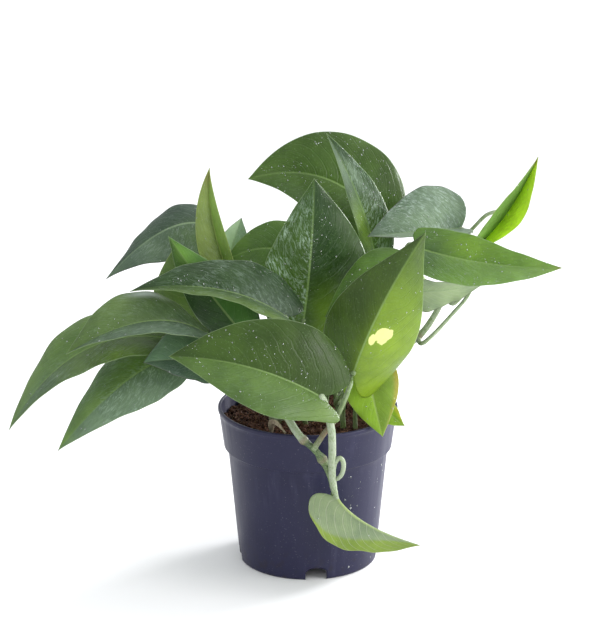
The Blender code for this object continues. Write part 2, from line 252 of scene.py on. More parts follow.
# Link a finished mesh as a piece on the root body and hide the CAD nodes it replaces
def place(name, mesh, slot, *nodes):
    piece = bpy.data.objects.new(name, mesh)
    bpy.context.scene.collection.objects.link(piece)
    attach(piece, "root")
    if nodes:
        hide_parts(*nodes)
    return piece


# Close doubles and turn all faces out
def outward(mesh, join=0.0):
    body = bmesh.new()
    body.from_mesh(mesh)
    if join:
        bmesh.ops.remove_doubles(body, verts=body.verts, dist=join)
    bmesh.ops.recalc_face_normals(body, faces=body.faces)
    body.to_mesh(mesh)
    body.free()


# Quads over a grid of points, row by row
def gridFaces(rows, columns, start=0, flip=False):
    faces = []
    for i in range(rows - 1):
        for j in range(columns - 1):
            a = start + i * columns + j
            quad = (a, a + columns, a + columns + 1, a + 1)
            faces.append(quad[::-1] if flip else quad)
    return faces


# Quads that join the rim of one skin to the same rim on the next
def rimFaces(edge, step):
    after = edge[1:] + edge[:1]
    return [(a, b, b + step, a + step) for a, b in zip(edge, after)]


# Points strewn over the mesh that a tree is given
def strew(tree, start, inputs, **settings):
    fixed = {"Mesh": start.outputs["Geometry"], "Seed": start.outputs["Seed"]}
    return addNode(tree, "GeometryNodeDistributePointsOnFaces", dict(fixed, **inputs), **settings)


# Sizes between the smallest and the largest, most of them small
def skewedSize(tree, start, seed, power):
    draw = addNode(tree, "FunctionNodeRandomValue", {"Seed": seed}, data_type="FLOAT")
    skew = calc(tree, "POWER", draw.outputs[1], power)
    spread = minus(tree, start.outputs["Largest"], start.outputs["Smallest"])
    return calc(tree, "MULTIPLY_ADD", skew, spread, start.outputs["Smallest"])


# Put one shape on every point and close the tree
def putOnPoints(tree, start, end, points, shape, turn, scale):
    placed = addNode(tree, "GeometryNodeInstanceOnPoints",
                     {"Points": points.outputs[0], "Instance": shape.outputs[0],
                      "Rotation": turn, "Scale": scale})
    finishTree(tree, end, placed.outputs[0], start.outputs["Finish"])


def mark(mesh, name, values, kind="FLOAT"):
    layer = mesh.attributes.new(name, kind, "POINT")
    layer.data.foreach_set("color" if kind == "FLOAT_COLOR" else "value", np.asarray(values, float).ravel())


# pot

potFacts = {
    "rim": 61.5, "height": 110.0, "band": 28.0, "bandFoot": 57.6, "wallTop": 54.8, "foot": 47.2,
    "wall": 1.4, "floor": 9.5, "boss": 12.0, "steps": 144,
    "notchWidth": 14.4, "notchHeight": 9.0, "notchTurn": -83.0, "drain": 4.0, "drainCircle": 27.0,
    "archRise": 4.0, "archFoot": -2.0, "ringDepth": 6.5, "ringPast": 6.0,
    "plastic": (0.019, 0.019, 0.050), "scuff": (0.100, 0.100, 0.165), "shadow": (0.012, 0.012, 0.036),
    "speck": (0.16, 0.15, 0.19), "mud": (0.022, 0.017, 0.020), "gloss": 0.24,
}


def potLook(facts):
    look, tree, shader, where = newLook("slatePotPlastic")
    upright = addNode(tree, "ShaderNodeMapping", {"Vector": where, "Scale": (1, 1, 0.09)}).outputs[0]
    streaks = cloud(tree, upright, 120, 5, 0.6)
    patches = cloud(tree, where, 26, 4, 0.55)
    grit = cloud(tree, where, 900, 2, 0.6)
    dust = times(tree, remap(tree, streaks, 0.50, 0.74), remap(tree, patches, 0.38, 0.68))
    colour = blend(tree, times(tree, dust, 0.45), facts["plastic"], facts["scuff"])
    colour = blend(tree, remap(tree, patches, 0.35, 0.75, 0.0, 0.5), colour, facts["shadow"])
    colour = blend(tree, remap(tree, grit, 0.66, 0.74, 0.0, 0.5), colour, facts["speck"])
    height = addNode(tree, "ShaderNodeSeparateXYZ", {0: where}).outputs[2]
    splash = times(tree, remap(tree, height, 0.0, 0.03, 1.0, 0.0),
                   remap(tree, cloud(tree, where, 160, 4), 0.5, 0.68))
    colour = blend(tree, times(tree, splash, 0.5), colour, facts["mud"])
    rough = plus(tree, remap(tree, streaks, 0.3, 0.8, 0.34, 0.52), times(tree, dust, 0.2))
    bumps = plus(tree, times(tree, grit, 0.25), times(tree, streaks, 0.6))
    dress(tree, shader, colour, rough, relief(tree, bumps, 0.00035, 0.5))
    shader.inputs["Specular IOR Level"].default_value = facts["gloss"]
    return look


# Wall section from the underside out, up and back in; radius and height
def potProfile(facts):
    step, floor = facts["height"] - facts["band"], facts["floor"] + facts["wall"]
    rim, height, wall, foot = facts["rim"], facts["height"], facts["wall"], facts["foot"]
    points = [(0, 0), (facts["boss"], 0), (facts["boss"] + 1, facts["floor"]), (foot - 4.5, facts["floor"]),
              (foot - 3, 0), (foot - 1.2, 0), (foot - 0.2, 0.7), (foot, 2.0)]
    points += [(foot + (facts["wallTop"] - foot) * k / 20, 2 + (step - 3.2) * k / 20) for k in range(1, 21)]
    points += [(facts["wallTop"] + 0.25, step - 0.7), (facts["bandFoot"] - 0.5, step - 0.05),
               (facts["bandFoot"] - 0.1, step + 0.25), (facts["bandFoot"], step + 0.9)]
    points += [(facts["bandFoot"] + (rim - 0.7 - facts["bandFoot"]) * k / 10,
                step + 0.9 + (facts["band"] - 4.2) * k / 10)
               for k in range(1, 11)]
    points += [(rim - 0.25, height - 2.9), (rim, height - 2.4), (rim, height - 0.8),
               (rim - 0.3, height - 0.2),
               (rim - 0.8, height), (rim - 1.5, height), (rim - 1.95, height - 0.2),
               (rim - 2.1, height - 0.8),
               (facts["bandFoot"] - wall, step + 2), (facts["wallTop"] - wall, step - 1),
               (foot - wall + 1, floor + 1.5), (foot - wall - 0.5, floor), (0, floor)]
    return points


def turnTree():
    tree, start, end = newTree("turnedWall",
                               {"Steps": 96, "Path Radius": 0.01, "Finish": bpy.data.materials[0]})
    line = addNode(tree, "GeometryNodeMeshToCurve", {0: start.outputs["Geometry"]})
    spot = addNode(tree, "ShaderNodeSeparateXYZ", {0: addNode(tree, "GeometryNodeInputPosition").outputs[0]})
    flat = vector3(tree, minus(tree, spot.outputs[0], start.outputs["Path Radius"]),
                   times(tree, spot.outputs[2], -1.0))
    section = addNode(tree, "GeometryNodeSetPosition", {"Geometry": line.outputs[0], "Position": flat})
    circle = addNode(tree, "GeometryNodeCurvePrimitiveCircle", {"Resolution": start.outputs["Steps"],
                                                               "Radius": start.outputs["Path Radius"]})
    wall = addNode(tree, "GeometryNodeCurveToMesh",
                   {"Curve": circle.outputs[0], "Profile Curve": section.outputs[0]})
    joined = addNode(tree, "GeometryNodeMergeByDistance", {"Geometry": wall.outputs[0], "Distance": 0.00001})
    finishTree(tree, end, joined.outputs[0], start.outputs["Finish"])
    return tree


# Straight cutter between two rings of points
def prism(name, low, high):
    count = len(low)
    mesh = bpy.data.meshes.new(name)
    points = [tuple(c * mm for c in point) for point in low + high]
    faces = [(k, (k + 1) % count, count + (k + 1) % count, count + k) for k in range(count)]
    mesh.from_pydata(points, [], faces + [tuple(range(count)), tuple(range(2 * count - 1, count - 1, -1))])
    outward(mesh)
    cutter = bpy.data.objects.new(name, mesh)
    bpy.context.scene.collection.objects.link(cutter)
    return cutter


# Outline of a water notch, stood upright at a reach from the middle
def archRing(facts, turn, reach):
    half, rise = facts["notchWidth"] / 2, facts["archRise"]
    arch = [(-half, facts["archFoot"]), (half, facts["archFoot"])]
    for k in range(17):
        bend = math.pi * k / 16
        arch.append((half * math.cos(bend), facts["notchHeight"] - rise + rise * math.sin(bend)))
    ahead, aside = math.cos(turn), math.sin(turn)
    return [(ahead * reach - aside * x, aside * reach + ahead * x, z) for x, z in arch]


def drainRing(facts, x, y, height):
    bends = [math.pi * k / 12 for k in range(24)]
    return [(x + facts["drain"] * math.cos(bend), y + facts["drain"] * math.sin(bend),
             height) for bend in bends]


def potCutters(facts):
    made = []
    for k in range(4):
        turn = math.radians(facts["notchTurn"] + 90 * k)
        inner, outer = facts["foot"] - facts["ringDepth"], facts["foot"] + facts["ringPast"]
        made.append(prism(f"archCutter{k}", archRing(facts, turn, inner), archRing(facts, turn, outer)))
    for k in range(6):
        x = facts["drainCircle"] * math.cos(math.radians(60 * k))
        y = facts["drainCircle"] * math.sin(math.radians(60 * k))
        low, high = facts["floor"] - 3, facts["floor"] + 5
        made.append(prism(f"drainCutter{k}", drainRing(facts, x, y, low), drainRing(facts, x, y, high)))
    return made


def makePot(facts):
    line = bpy.data.meshes.new("potSection")
    section = potProfile(facts)
    line.from_pydata([(r * mm, 0, z * mm) for r, z in section], [(k, k + 1) for k in range(len(section) - 1)],
                     [])
    shell = grow("potShell", line, turnTree(),
                 {"Steps": facts["steps"], "Path Radius": 0.01, "Finish": potLook(facts)})
    outward(shell, 0.00001)
    body = bpy.data.objects.new("potBody", shell)
    bpy.context.scene.collection.objects.link(body)
    cutters = potCutters(facts)
    for cutter in cutters:
        cut = body.modifiers.new(cutter.name, "BOOLEAN")
        cut.operation, cut.solver, cut.object = "DIFFERENCE", "EXACT", cutter
    graph = bpy.context.evaluated_depsgraph_get()
    mesh = bpy.data.meshes.new_from_object(body.evaluated_get(graph))
    for item in [body] + cutters:
        bpy.data.objects.remove(item, do_unlink=True)
    mesh.name = "nurseryPot"
    return place("nursery_pot", mesh, "pot_plastic", "pot")


pot = makePot(potFacts)
print("pot turned,", len(pot.data.polygons), "faces")


# soil

soilFacts = {
    "top": 100.0, "rings": 44, "steps": 120, "rough": 1.3,
    "crumbs": 1500, "crumbSmall": 0.7, "crumbLarge": 2.1, "fibres": 520, "fibreLength": 8.0, "seed": 7,
    "dark": (0.022, 0.010, 0.007), "brown": (0.085, 0.036, 0.022), "rust": (0.190, 0.080, 0.045),
    "straw": (0.32, 0.22, 0.13),
    "coir": (0.30, 0.16, 0.09), "gloss": 0.25, "radius": 58.0, "foot": 11.3, "sunk": 0.5, "edge": 3.0,
    "crumbReach": 56.5, "fibreReach": 53.5, "strewnRadius": 0.0555, "fibreThick": 0.18,
}


def soilHeight(x, y):
    broad = 0.6 * math.sin(x / 9.0 + 1.0) * math.cos(y / 11.0)
    return soilFacts["top"] + broad + 0.4 * math.sin(y / 7.0 - x / 14.0)


def soilLook(name, facts, paleness):
    look, tree, shader, where = newLook(name)
    clumps = cloud(tree, where, 260, 6, 0.65)
    grains = cloud(tree, where, 1400, 3, 0.6)
    colour = blend(tree, remap(tree, clumps, 0.38, 0.62), facts["dark"], facts["brown"])
    colour = blend(tree, remap(tree, grains, 0.48, 0.72, 0.0, 0.8), colour, facts["rust"])
    colour = blend(tree, remap(tree, cloud(tree, where, 520, 2), 0.62, 0.70, 0.0, paleness), colour,
                   facts["straw"])
    bumps = plus(tree, clumps, times(tree, grains, 0.5))
    dress(tree, shader, colour, remap(tree, grains, 0.3, 0.7, 0.75, 1.0), relief(tree, bumps, 0.0012))
    shader.inputs["Specular IOR Level"].default_value = facts["gloss"]
    return look


# Plug of soil under a broken, lumpy surface
def soilMesh(facts):
    steps, points, outer = facts["steps"], [], facts["radius"]
    section = [(44.3, facts["foot"]), (45.8, 14.0), (52.6, 81.0), (55.4, 85.0), (outer, 98.0)]
    section += [(outer * (1 - k / facts["rings"]), None) for k in range(1, facts["rings"])]
    for radius, height in section:
        for k in range(steps):
            turn = 2 * math.pi * k / steps
            x, y = radius * math.cos(turn), radius * math.sin(turn)
            z = height
            if z is None:
                lump = noise.fractal(Vector((x, y, 3.0)) / 3.2, 0.8, 2.1, 4)
                settle = min(1.0, (outer - radius) / facts["edge"])
                z = soilHeight(x, y) - facts["sunk"] + facts["rough"] * lump * settle
            points.append((x * mm, y * mm, z * mm))
    rings = len(section)
    faces = [(r * steps + k, r * steps + (k + 1) % steps, (r + 1) * steps + (k + 1) % steps,
              (r + 1) * steps + k)
             for r in range(rings - 1) for k in range(steps)]
    points += [(0, 0, facts["foot"] * mm), (0, 0, (soilHeight(0, 0) - facts["sunk"]) * mm)]
    low, high = len(points) - 2, len(points) - 1
    for k in range(steps):
        after, top = (k + 1) % steps, (rings - 1) * steps
        faces += [(low, after, k), (high, top + k, top + after)]
    mesh = bpy.data.meshes.new("soilBed")
    mesh.from_pydata(points, [], faces)
    outward(mesh)
    mesh.shade_smooth()
    return mesh


def crumbTree():
    tree, start, end = newTree("scatterCrumbs", {"Density": 150000.0, "Smallest": 0.0007, "Largest": 0.0021,
                                                 "Seed": 7, "Finish": bpy.data.materials[0]})
    points = strew(tree, start, {"Density": start.outputs["Density"]})
    lump = addNode(tree, "GeometryNodeMeshIcoSphere", {"Radius": 1.0, "Subdivisions": 1})
    dent = addNode(tree, "ShaderNodeTexNoise", {"Scale": 2.3})
    shaped = addNode(tree, "GeometryNodeSetPosition",
                     {"Geometry": lump.outputs[0], "Offset": dent.outputs[1]})
    turn = addNode(tree, "FunctionNodeRandomValue", {0: (0.0, 0.0, 0.0), 1: (6.28, 6.28, 6.28)},
                   data_type="FLOAT_VECTOR")
    size = skewedSize(tree, start, 3, 2.2)
    spin = addNode(tree, "FunctionNodeEulerToRotation", {0: turn.outputs[0]})
    putOnPoints(tree, start, end, points, shaped, spin.outputs[0], vector3(tree, size, size, size))
    return tree


# Short bent threads of coir lying about the surface
def fibreTree():
    tree, start, end = newTree("scatterFibres", {"Density": 50000.0, "Length": 0.008, "Thickness": 0.00018,
                                                 "Seed": 11, "Finish": bpy.data.materials[0]})
    points = strew(tree, start, {"Density": start.outputs["Density"]})
    length = start.outputs["Length"]
    thread = addNode(tree, "GeometryNodeCurveQuadraticBezier",
                     {"Resolution": 5, "Start": vector3(tree, times(tree, length, -0.5), 0.0, 0.0),
                      "Middle": vector3(tree, 0.0, times(tree, length, 0.28), times(tree, length, 0.22)),
                      "End": vector3(tree, times(tree, length, 0.5), 0.0, 0.0)})
    ring = addNode(tree, "GeometryNodeCurvePrimitiveCircle",
                   {"Resolution": 3, "Radius": start.outputs["Thickness"]})
    strand = addNode(tree, "GeometryNodeCurveToMesh",
                     {"Curve": thread.outputs[0], "Profile Curve": ring.outputs[0],
                      "Fill Caps": True})
    turn = addNode(tree, "FunctionNodeRandomValue", {0: (-0.5, -0.35, 0.0), 1: (0.5, 0.35, 6.28), "Seed": 5},
                   data_type="FLOAT_VECTOR")
    spin = addNode(tree, "FunctionNodeEulerToRotation", {0: turn.outputs[0]})
    size = addNode(tree, "FunctionNodeRandomValue", {2: 0.35, 3: 1.3, "Seed": 9},
                   data_type="FLOAT").outputs[1]
    putOnPoints(tree, start, end, points, strand, spin.outputs[0], vector3(tree, size, 1.0, size))
    return tree


# Open disc that follows the soil, used only to scatter on
def soilSkin(radius, lift):
    size, points = 40, []
    for i in range(size + 1):
        for j in range(size + 1):
            x, y = radius * (2 * i / size - 1), radius * (2 * j / size - 1)
            squeeze = max(abs(x), abs(y)) / max(math.hypot(x, y), 1e-6)
            x, y = x * squeeze, y * squeeze
            points.append((x * mm, y * mm, (soilHeight(x, y) + lift) * mm))
    mesh = bpy.data.meshes.new("soilSkin")
    mesh.from_pydata(points, [], gridFaces(size + 1, size + 1))
    return mesh


def makeSoil(facts):
    bed = soilMesh(facts)
    bed.materials.append(soilLook("coirSoil", facts, 0.5))
    place("soil_bed", bed, "soil", "soil")
    area = math.pi * facts["strewnRadius"] ** 2
    crumbs = grow("soilCrumbs", soilSkin(facts["crumbReach"], -0.2), crumbTree(),
                  {"Density": facts["crumbs"] / area, "Smallest": facts["crumbSmall"] * mm,
                   "Largest": facts["crumbLarge"] * mm, "Seed": facts["seed"],
                   "Finish": soilLook("coirCrumbs", facts, 0.8)})
    place("soil_crumbs", crumbs, "soil")
    fibreFinish = soilLook("coirFibres",
                           dict(facts, dark=facts["brown"], brown=facts["rust"], rust=facts["coir"]), 1.0)
    fibres = grow("soilFibres", soilSkin(facts["fibreReach"], 0.5), fibreTree(),
                  {"Density": facts["fibres"] / area, "Length": facts["fibreLength"] * mm,
                   "Thickness": facts["fibreThick"] * mm,
                   "Seed": facts["seed"] + 4, "Finish": fibreFinish})
    place("soil_fibres", fibres, "soil")
    print("soil laid,", len(crumbs.polygons), "crumb faces,", len(fibres.polygons), "fibre faces")


makeSoil(soilFacts)


# leaf blades

bladeFacts = {
    "thick": 0.6, "groove": 0.30, "ridge": 0.95, "quilt": 0.13, "ripple": 0.85, "curl": 0.035,
    "veins": 11, "rows": 72, "lobe": 0.36, "cup": 0.05, "grooveWidth": 0.9, "ridgeWidth": 1.2, "ribFade": 0.8,
}

tones = {
    "deep": (0.016, 0.048, 0.008), "forest": (0.032, 0.085, 0.016), "bottle": (0.028, 0.070, 0.030),
    "olive": (0.058, 0.110, 0.014), "moss": (0.070, 0.145, 0.018), "grass": (0.105, 0.215, 0.026),
    "leafy": (0.125, 0.225, 0.050), "fern": (0.165, 0.265, 0.060), "spring": (0.230, 0.390, 0.030),
    # lime is painted back-light: the yellow-green of light shining through a blade
    "lime": (0.420, 0.640, 0.030), "slate": (0.055, 0.100, 0.060), "sage": (0.120, 0.185, 0.120),
    "mint": (0.300, 0.410, 0.290), "silk": (0.325, 0.425, 0.245), "pistachio": (0.300, 0.420, 0.100),
    "amber": (0.560, 0.440, 0.040), "husk": (0.180, 0.110, 0.045), "dusk": (0.100, 0.165, 0.050),
    "zest": (0.290, 0.420, 0.070),
    # painted highlight: a whitish gloss spot laid into a blade's colour
    "paintedHighlight": (0.600, 0.680, 0.640),
}

# stalk end, middle of the midrib, tip, left edge, right edge
leafShapes = {
    "front_low": ((8, -88, 147), (-39, -98, 171), (-91, -94, 177), (-22, -118, 144), (-18, -84, 200)),
    "front_right": ((30, -60, 154), (49, -72, 206), (77, -56, 250), (12, -50, 187), (74, -50, 179)),
    "centre": ((-3, -16, 176), (2, -21, 227), (4, -18, 276), (-22, -18, 233), (29, -10, 242)),
    "centre_left": ((-15, -42, 187), (-61, -54, 210), (-117, -68, 213), (-56, -74, 210), (-51, -32, 225)),
    "left_over": ((-67, -57, 180), (-107, -74, 194), (-158, -90, 177), (-114, -94, 192), (-123, -62, 210)),
    "far_left": ((-96, -50, 175), (-152, -66, 169), (-198, -76, 119), (-147, -82, 163), (-165, -46, 177)),
    "lower_left": ((-91, -44, 160), (-126, -58, 143), (-167, -64, 100), (-105, -66, 134), (-140, -42, 149)),
    "left_inner": ((-57, -68, 163), (-82, -74, 168), (-108, -80, 168), (-76, -84, 157), (-93, -62, 182)),
    "inner_left": ((-44, -28, 171), (-69, -34, 206), (-93, -28, 239), (-82, -32, 198), (-45, -24, 203)),
    "inner_left_back": ((-61, -14, 165), (-79, -18, 198), (-90, -14, 226), (-103, -12, 199), (-58, -10, 196)),
    "upright_narrow": ((-51, 0, 196), (-64, 2, 240), (-66, 4, 277), (-75, -5, 229), (-53, -5, 225)),
    "upper_left": ((-67, 32, 228), (-98, 20, 228), (-137, 2, 199), (-103, 4, 211), (-97, 42, 237)),
    "small_pale": ((-54, 14, 206), (-50, 18, 222), (-45, 22, 237), (-55, 20, 229), (-41, 20, 224)),
    "behind_centre": ((-1, 6, 210), (-28, 6, 220), (-56, 2, 212), (-31, -6, 204), (-24, 18, 236)),
    "top_back": ((44, 50, 233), (6, 48, 259), (-41, 32, 261), (0, 32, 238), (22, 68, 285)),
    "top_folded": ((45, 18, 214), (33, 24, 253), (12, 28, 295), (28, 17, 249), (53, 28, 245)),
    "right_grey": ((104, 26, 228), (72, 14, 229), (40, 4, 229), (73, 1, 229), (78, 34, 256)),
    "right_upper": ((120, 20, 222), (139, 26, 245), (156, 32, 277), (131, 10, 251), (150, 12, 252)),
    "right_wide": ((73, -12, 226), (120, -20, 217), (171, -16, 213), (103, -9, 236), (102, -34, 207)),
    "right_under": ((65, 0, 192), (91, -4, 194), (120, -2, 198), (88, 4, 178), (90, -16, 204)),
    "behind_right": ((60, -32, 219), (36, -38, 209), (11, -40, 186), (49, -44, 185), (36, -24, 224)),
    "right_drop": ((39, -32, 150), (44, -41, 128), (50, -53, 106), (58, -41, 124), (25, -36, 129)),
    "right_drop_small": ((49, -26, 124), (56, -33, 115), (65, -42, 110), (61, -31, 117), (56, -41, 110)),
    "hanging": ((19, -72, 70), (39, -80, 54), (75, -78, 38), (32, -92, 39), (44, -58, 39)),
    "back_right": ((40, 52, 190), (66, 82, 186), (88, 108, 160), (78, 60, 172), (44, 96, 172)),
    "back_left": ((-30, 50, 192), (-56, 80, 188), (-80, 104, 164), (-34, 94, 174), (-72, 62, 174)),
}

# how far a blade is drawn in beside its stalk, and how far its lobes sweep back; left and right half
plainSlim = (0.0, 0.28)
bladeSlim = {
    "front_low": ((0.35, 0.25), plainSlim),
    "left_over": ((0.2, 0.28), (0.85, 0.5)), "left_inner": (plainSlim, (0.9, 0.35)),
    "hanging": (plainSlim, (0.5, 0.28)),
    "right_drop_small": ((0.3, 0.28), (0.3, 0.28)), "right_upper": ((0.2, 0.28), (0.5, 0.3)),
}
lobeSweep = {"front_low": (2.2, 1.0), "front_right": (0.7, 1.8), "right_wide": (0.8, 0.1),
             "right_grey": (1.0, 0.5)}

# slot, left half, right half, underside, pale streaks on the left and right half, wetness,
# then soft spots: (along, across, reach along, reach across, tone, strength).
# The half tones and soft spots hold painted light and shade as well as pigment: back-lit halves and lobes are
# painted bright yellow-green, shaded halves and patches darker, and one spot is a painted highlight.
leafLooks = {
    "front_low": ("leaf_green", "leafy", "moss", "pistachio", 0.06, 0.0, 0.8,
                  ((0.25, -0.45, 0.3, 0.5, "olive", 0.5), (0.05, 0.6, 0.12, 0.5, "fern", 0.6),
                   (0.75, -0.4, 0.3, 0.6, "grass", 0.5))),
    "front_right": ("leaf_green", "olive", "spring", "pistachio", 0.0, 0.0, 0.3,
                    ((0.12, -0.6, 0.35, 0.6, "lime", 0.6), (0.9, -0.5, 0.25, 0.8, "leafy", 0.8),
                     (0.1, 0.6, 0.2, 0.5, "moss", 0.6))),
    "centre": ("leaf_green", "moss", "forest", "pistachio", 1.0, 0.08, 1.0,
               ((0.12, -0.45, 0.16, 0.35, "spring", 0.9), (0.85, 0.0, 0.25, 1.0, "forest", 0.8),
                (0.5, -0.9, 0.4, 0.3, "moss", 0.5))),
    "centre_left": ("leaf_green", "moss", "forest", "fern", 0.25, 0.25, 1.0,
                    ((0.1, 0.85, 0.3, 0.25, "fern", 0.9), (0.12, 0.0, 0.22, 0.6, "sage", 0.8),
                     (0.6, 0.9, 0.4, 0.2, "fern", 0.5))),
    # the whitish spot near this blade's edge is a painted highlight
    "left_over": ("leaf_green", "sage", "dusk", "fern", 0.45, 0.15, 0.5,
                  ((0.44, -0.88, 0.09, 0.10, "paintedHighlight", 0.95), (0.2, -0.3, 0.25, 0.5, "bottle", 0.6),
                   (0.9, 0.0, 0.25, 1.0, "leafy", 0.4))),
    "far_left": ("leaf_green", "dusk", "dusk", "fern", 0.20, 0.10, 0.3,
                 ((0.85, 0.4, 0.25, 0.7, "sage", 0.7), (0.3, 0.75, 0.12, 0.3, "spring", 0.5),
                  (0.5, -0.4, 0.2, 0.4, "moss", 0.5))),
    "lower_left": ("leaf_green", "sage", "dusk", "fern", 0.55, 0.25, 0.4,
                   ((0.2, -0.3, 0.3, 0.6, "olive", 0.6), (0.6, -0.8, 0.3, 0.4, "slate", 0.5),
                    (0.93, 0.0, 0.08, 1.0, "leafy", 0.5))),
    "left_inner": ("leaf_sage", "slate", "slate", "sage", 0.12, 0.08, 0.3,
                   ((0.5, -0.5, 0.3, 0.5, "sage", 0.4),)),
    "inner_left": ("leaf_green", "deep", "deep", "moss", 0.0, 0.0, 0.2,
                   ((0.85, 0.0, 0.22, 1.0, "moss", 0.6), (0.2, -0.3, 0.3, 0.6, "forest", 0.9))),
    "inner_left_back": ("leaf_lime", "leafy", "fern", "pistachio", 0.0, 0.0, 0.1, ()),
    "upright_narrow": ("leaf_lime", "pistachio", "fern", "pistachio", 0.15, 0.10, 0.3,
                       ((0.93, 0.0, 0.10, 1.0, "husk", 0.6), (0.3, 0.0, 0.4, 0.25, "leafy", 0.5))),
    "upper_left": ("leaf_sage", "sage", "slate", "sage", 0.20, 0.10, 0.2,
                   ((0.25, 0.4, 0.3, 0.5, "moss", 0.6),)),
    "small_pale": ("leaf_sage", "mint", "sage", "silk", 0.50, 0.50, 0.3, ()),
    "behind_centre": ("leaf_green", "moss", "moss", "fern", 0.05, 0.05, 0.5,
                      ((0.6, -0.6, 0.4, 0.5, "grass", 0.4),)),
    "top_back": ("leaf_green", "grass", "moss", "fern", 0.05, 0.0, 1.0,
                 ((0.5, 0.8, 0.3, 0.3, "sage", 0.5), (0.5, -0.3, 0.3, 0.4, "grass", 0.4),
                  (0.1, -0.9, 0.4, 0.3, "olive", 0.5))),
    "top_folded": ("leaf_green", "sage", "forest", "pistachio", 0.15, 0.55, 1.3,
                   ((0.25, 0.5, 0.25, 0.7, "spring", 0.9), (0.8, 0.6, 0.2, 0.6, "mint", 0.6),
                    (0.62, -0.3, 0.16, 0.3, "mint", 0.75),
                    (0.2, -0.5, 0.15, 0.5, "moss", 0.7))),
    "right_grey": ("leaf_sage", "mint", "sage", "silk", 0.35, 0.55, 1.5,
                   ((0.2, -0.3, 0.3, 0.6, "mint", 0.6),)),
    "right_upper": ("leaf_lime", "leafy", "lime", "spring", 0.0, 0.0, 0.1,
                    ((0.97, 0.0, 0.06, 1.0, "husk", 0.9),)),
    "right_wide": ("leaf_green", "grass", "leafy", "silk", 0.05, 0.15, 0.9,
                   ((0.35, 0.45, 0.25, 0.5, "spring", 0.45), (0.1, 0.0, 0.14, 1.0, "slate", 0.6),
                    (0.2, -0.5, 0.2, 0.5, "moss", 0.6),
                    (0.9, 0.0, 0.15, 1.0, "fern", 0.5), (0.985, 0.0, 0.03, 1.0, "husk", 0.8))),
    "right_under": ("leaf_sage", "sage", "sage", "silk", 0.0, 0.0, 0.2, ()),
    "behind_right": ("leaf_green", "slate", "moss", "fern", 0.10, 0.05, 0.3,
                     ((0.25, -0.3, 0.3, 0.6, "grass", 0.6), (0.7, 0.3, 0.35, 0.7, "bottle", 0.7))),
    "right_drop": ("leaf_lime", "spring", "spring", "pistachio", 0.0, 0.0, 0.3,
                   ((0.3, 0.95, 0.6, 0.12, "amber", 0.8),)),
    "right_drop_small": ("leaf_lime", "spring", "spring", "pistachio", 0.0, 0.0, 0.2,
                         ((0.6, 0.8, 0.5, 0.3, "amber", 0.5),)),
    "hanging": ("leaf_lime", "spring", "leafy", "silk", 0.0, 0.0, 0.3,
                ((0.4, 0.4, 0.4, 0.5, "spring", 0.5),)),
    "back_right": ("leaf_green", "moss", "forest", "fern", 0.10, 0.10, 0.3, ()),
    "back_left": ("leaf_green", "forest", "moss", "fern", 0.10, 0.10, 0.3, ()),
}

# brightness of the upper face, left and right half; it holds some light and shade as well as pigment
bladeLight = {
    "front_low": (0.73, 0.51), "front_right": (0.78, 0.56), "centre": (0.80, 0.65),
    "centre_left": (0.69, 0.64),
    "left_over": (0.73, 0.91), "far_left": (0.91, 1.13), "lower_left": (1.12, 1.42),
    "left_inner": (1.42, 2.2),
    "inner_left": (1.45, 2.4), "inner_left_back": (0.70, 1.45), "upright_narrow": (0.58, 1.23),
    "upper_left": (0.82, 0.77),
    "small_pale": (1.33, 1.68), "behind_centre": (1.0, 0.94), "top_back": (0.50, 0.64),
    "top_folded": (0.75, 0.70),
    "right_grey": (0.70, 0.86), "right_upper": (1.5, 1.25), "right_wide": (0.85, 1.0),
    "behind_right": (0.56, 1.02),
    "right_drop": (0.67, 1.05), "right_drop_small": (1.1, 1.0), "hanging": (0.72, 0.72),
}

# blades that show their underside, so that is where their drops lie
seenFromBelow = ("hanging", "right_under")

# past this line the hanging blade turns its yellow-green side
foldLine = {"leaf": "hanging", "start": 1.06, "soft": 0.07, "tone": "zest"}

creamPatch = {"leaf": "front_right",
              "spots": ((0.315, -0.26, 0.05, 0.15), (0.345, -0.38, 0.035, 0.09), (0.27, -0.11, 0.04, 0.07)),
              "colour": (0.72, 0.72, 0.30)}


def unit(v):
    return v / np.maximum(np.linalg.norm(v, axis=-1, keepdims=True), 1e-9)


def rib(leaf, t):
    base, middle, tip = leaf[:3]
    bend, t = 2 * middle - (base + tip) / 2, np.asarray(t, float)[..., None]
    return (1 - t) ** 2 * base + 2 * t * (1 - t) * bend + t * t * tip


def ribDirection(leaf, t):
    base, middle, tip = leaf[:3]
    bend, t = 2 * middle - (base + tip) / 2, np.asarray(t, float)[..., None]
    return unit(2 * (1 - t) * (bend - base) + 2 * t * (tip - bend))


# Directions along, across and out of the blade at a place on the midrib
def ribFrame(leaf, t):
    along = ribDirection(leaf, t)
    reference = unit(leaf[3] - leaf[4])
    across = unit(reference - along * (along @ reference)[..., None])
    return along, across, np.cross(along, across)


def heartWidth(t, slim=plainSlim):
    return (t + 0.09) ** 0.5 * (1 - t) ** 1.1 / 0.4295 * (1 - slim[0] * np.exp(-(t / slim[1]) ** 2))


# Reach and lift angle that carry one half of the blade to its edge
def halfReach(leaf, edge, sign, slim):
    trial = 0.1 + 0.02 * np.arange(34)
    where = trial[np.argmin(np.linalg.norm(edge - rib(leaf, trial), axis=-1))]
    across, normal = ribFrame(leaf, where)[1:]
    reach = edge - rib(leaf, where)
    sideways, lifted = sign * float(reach @ across), float(reach @ normal)
    return math.hypot(sideways, lifted) / heartWidth(where, slim), math.atan2(lifted, sideways)


def crossShares():
    half = [0, 0.02, 0.045, 0.08, 0.13, 0.19, 0.26, 0.34, 0.43, 0.52, 0.61, 0.70, 0.78, 0.85, 0.905, 0.945,
            0.975, 1.0]
    return np.array([-s for s in half[:0:-1]] + half)


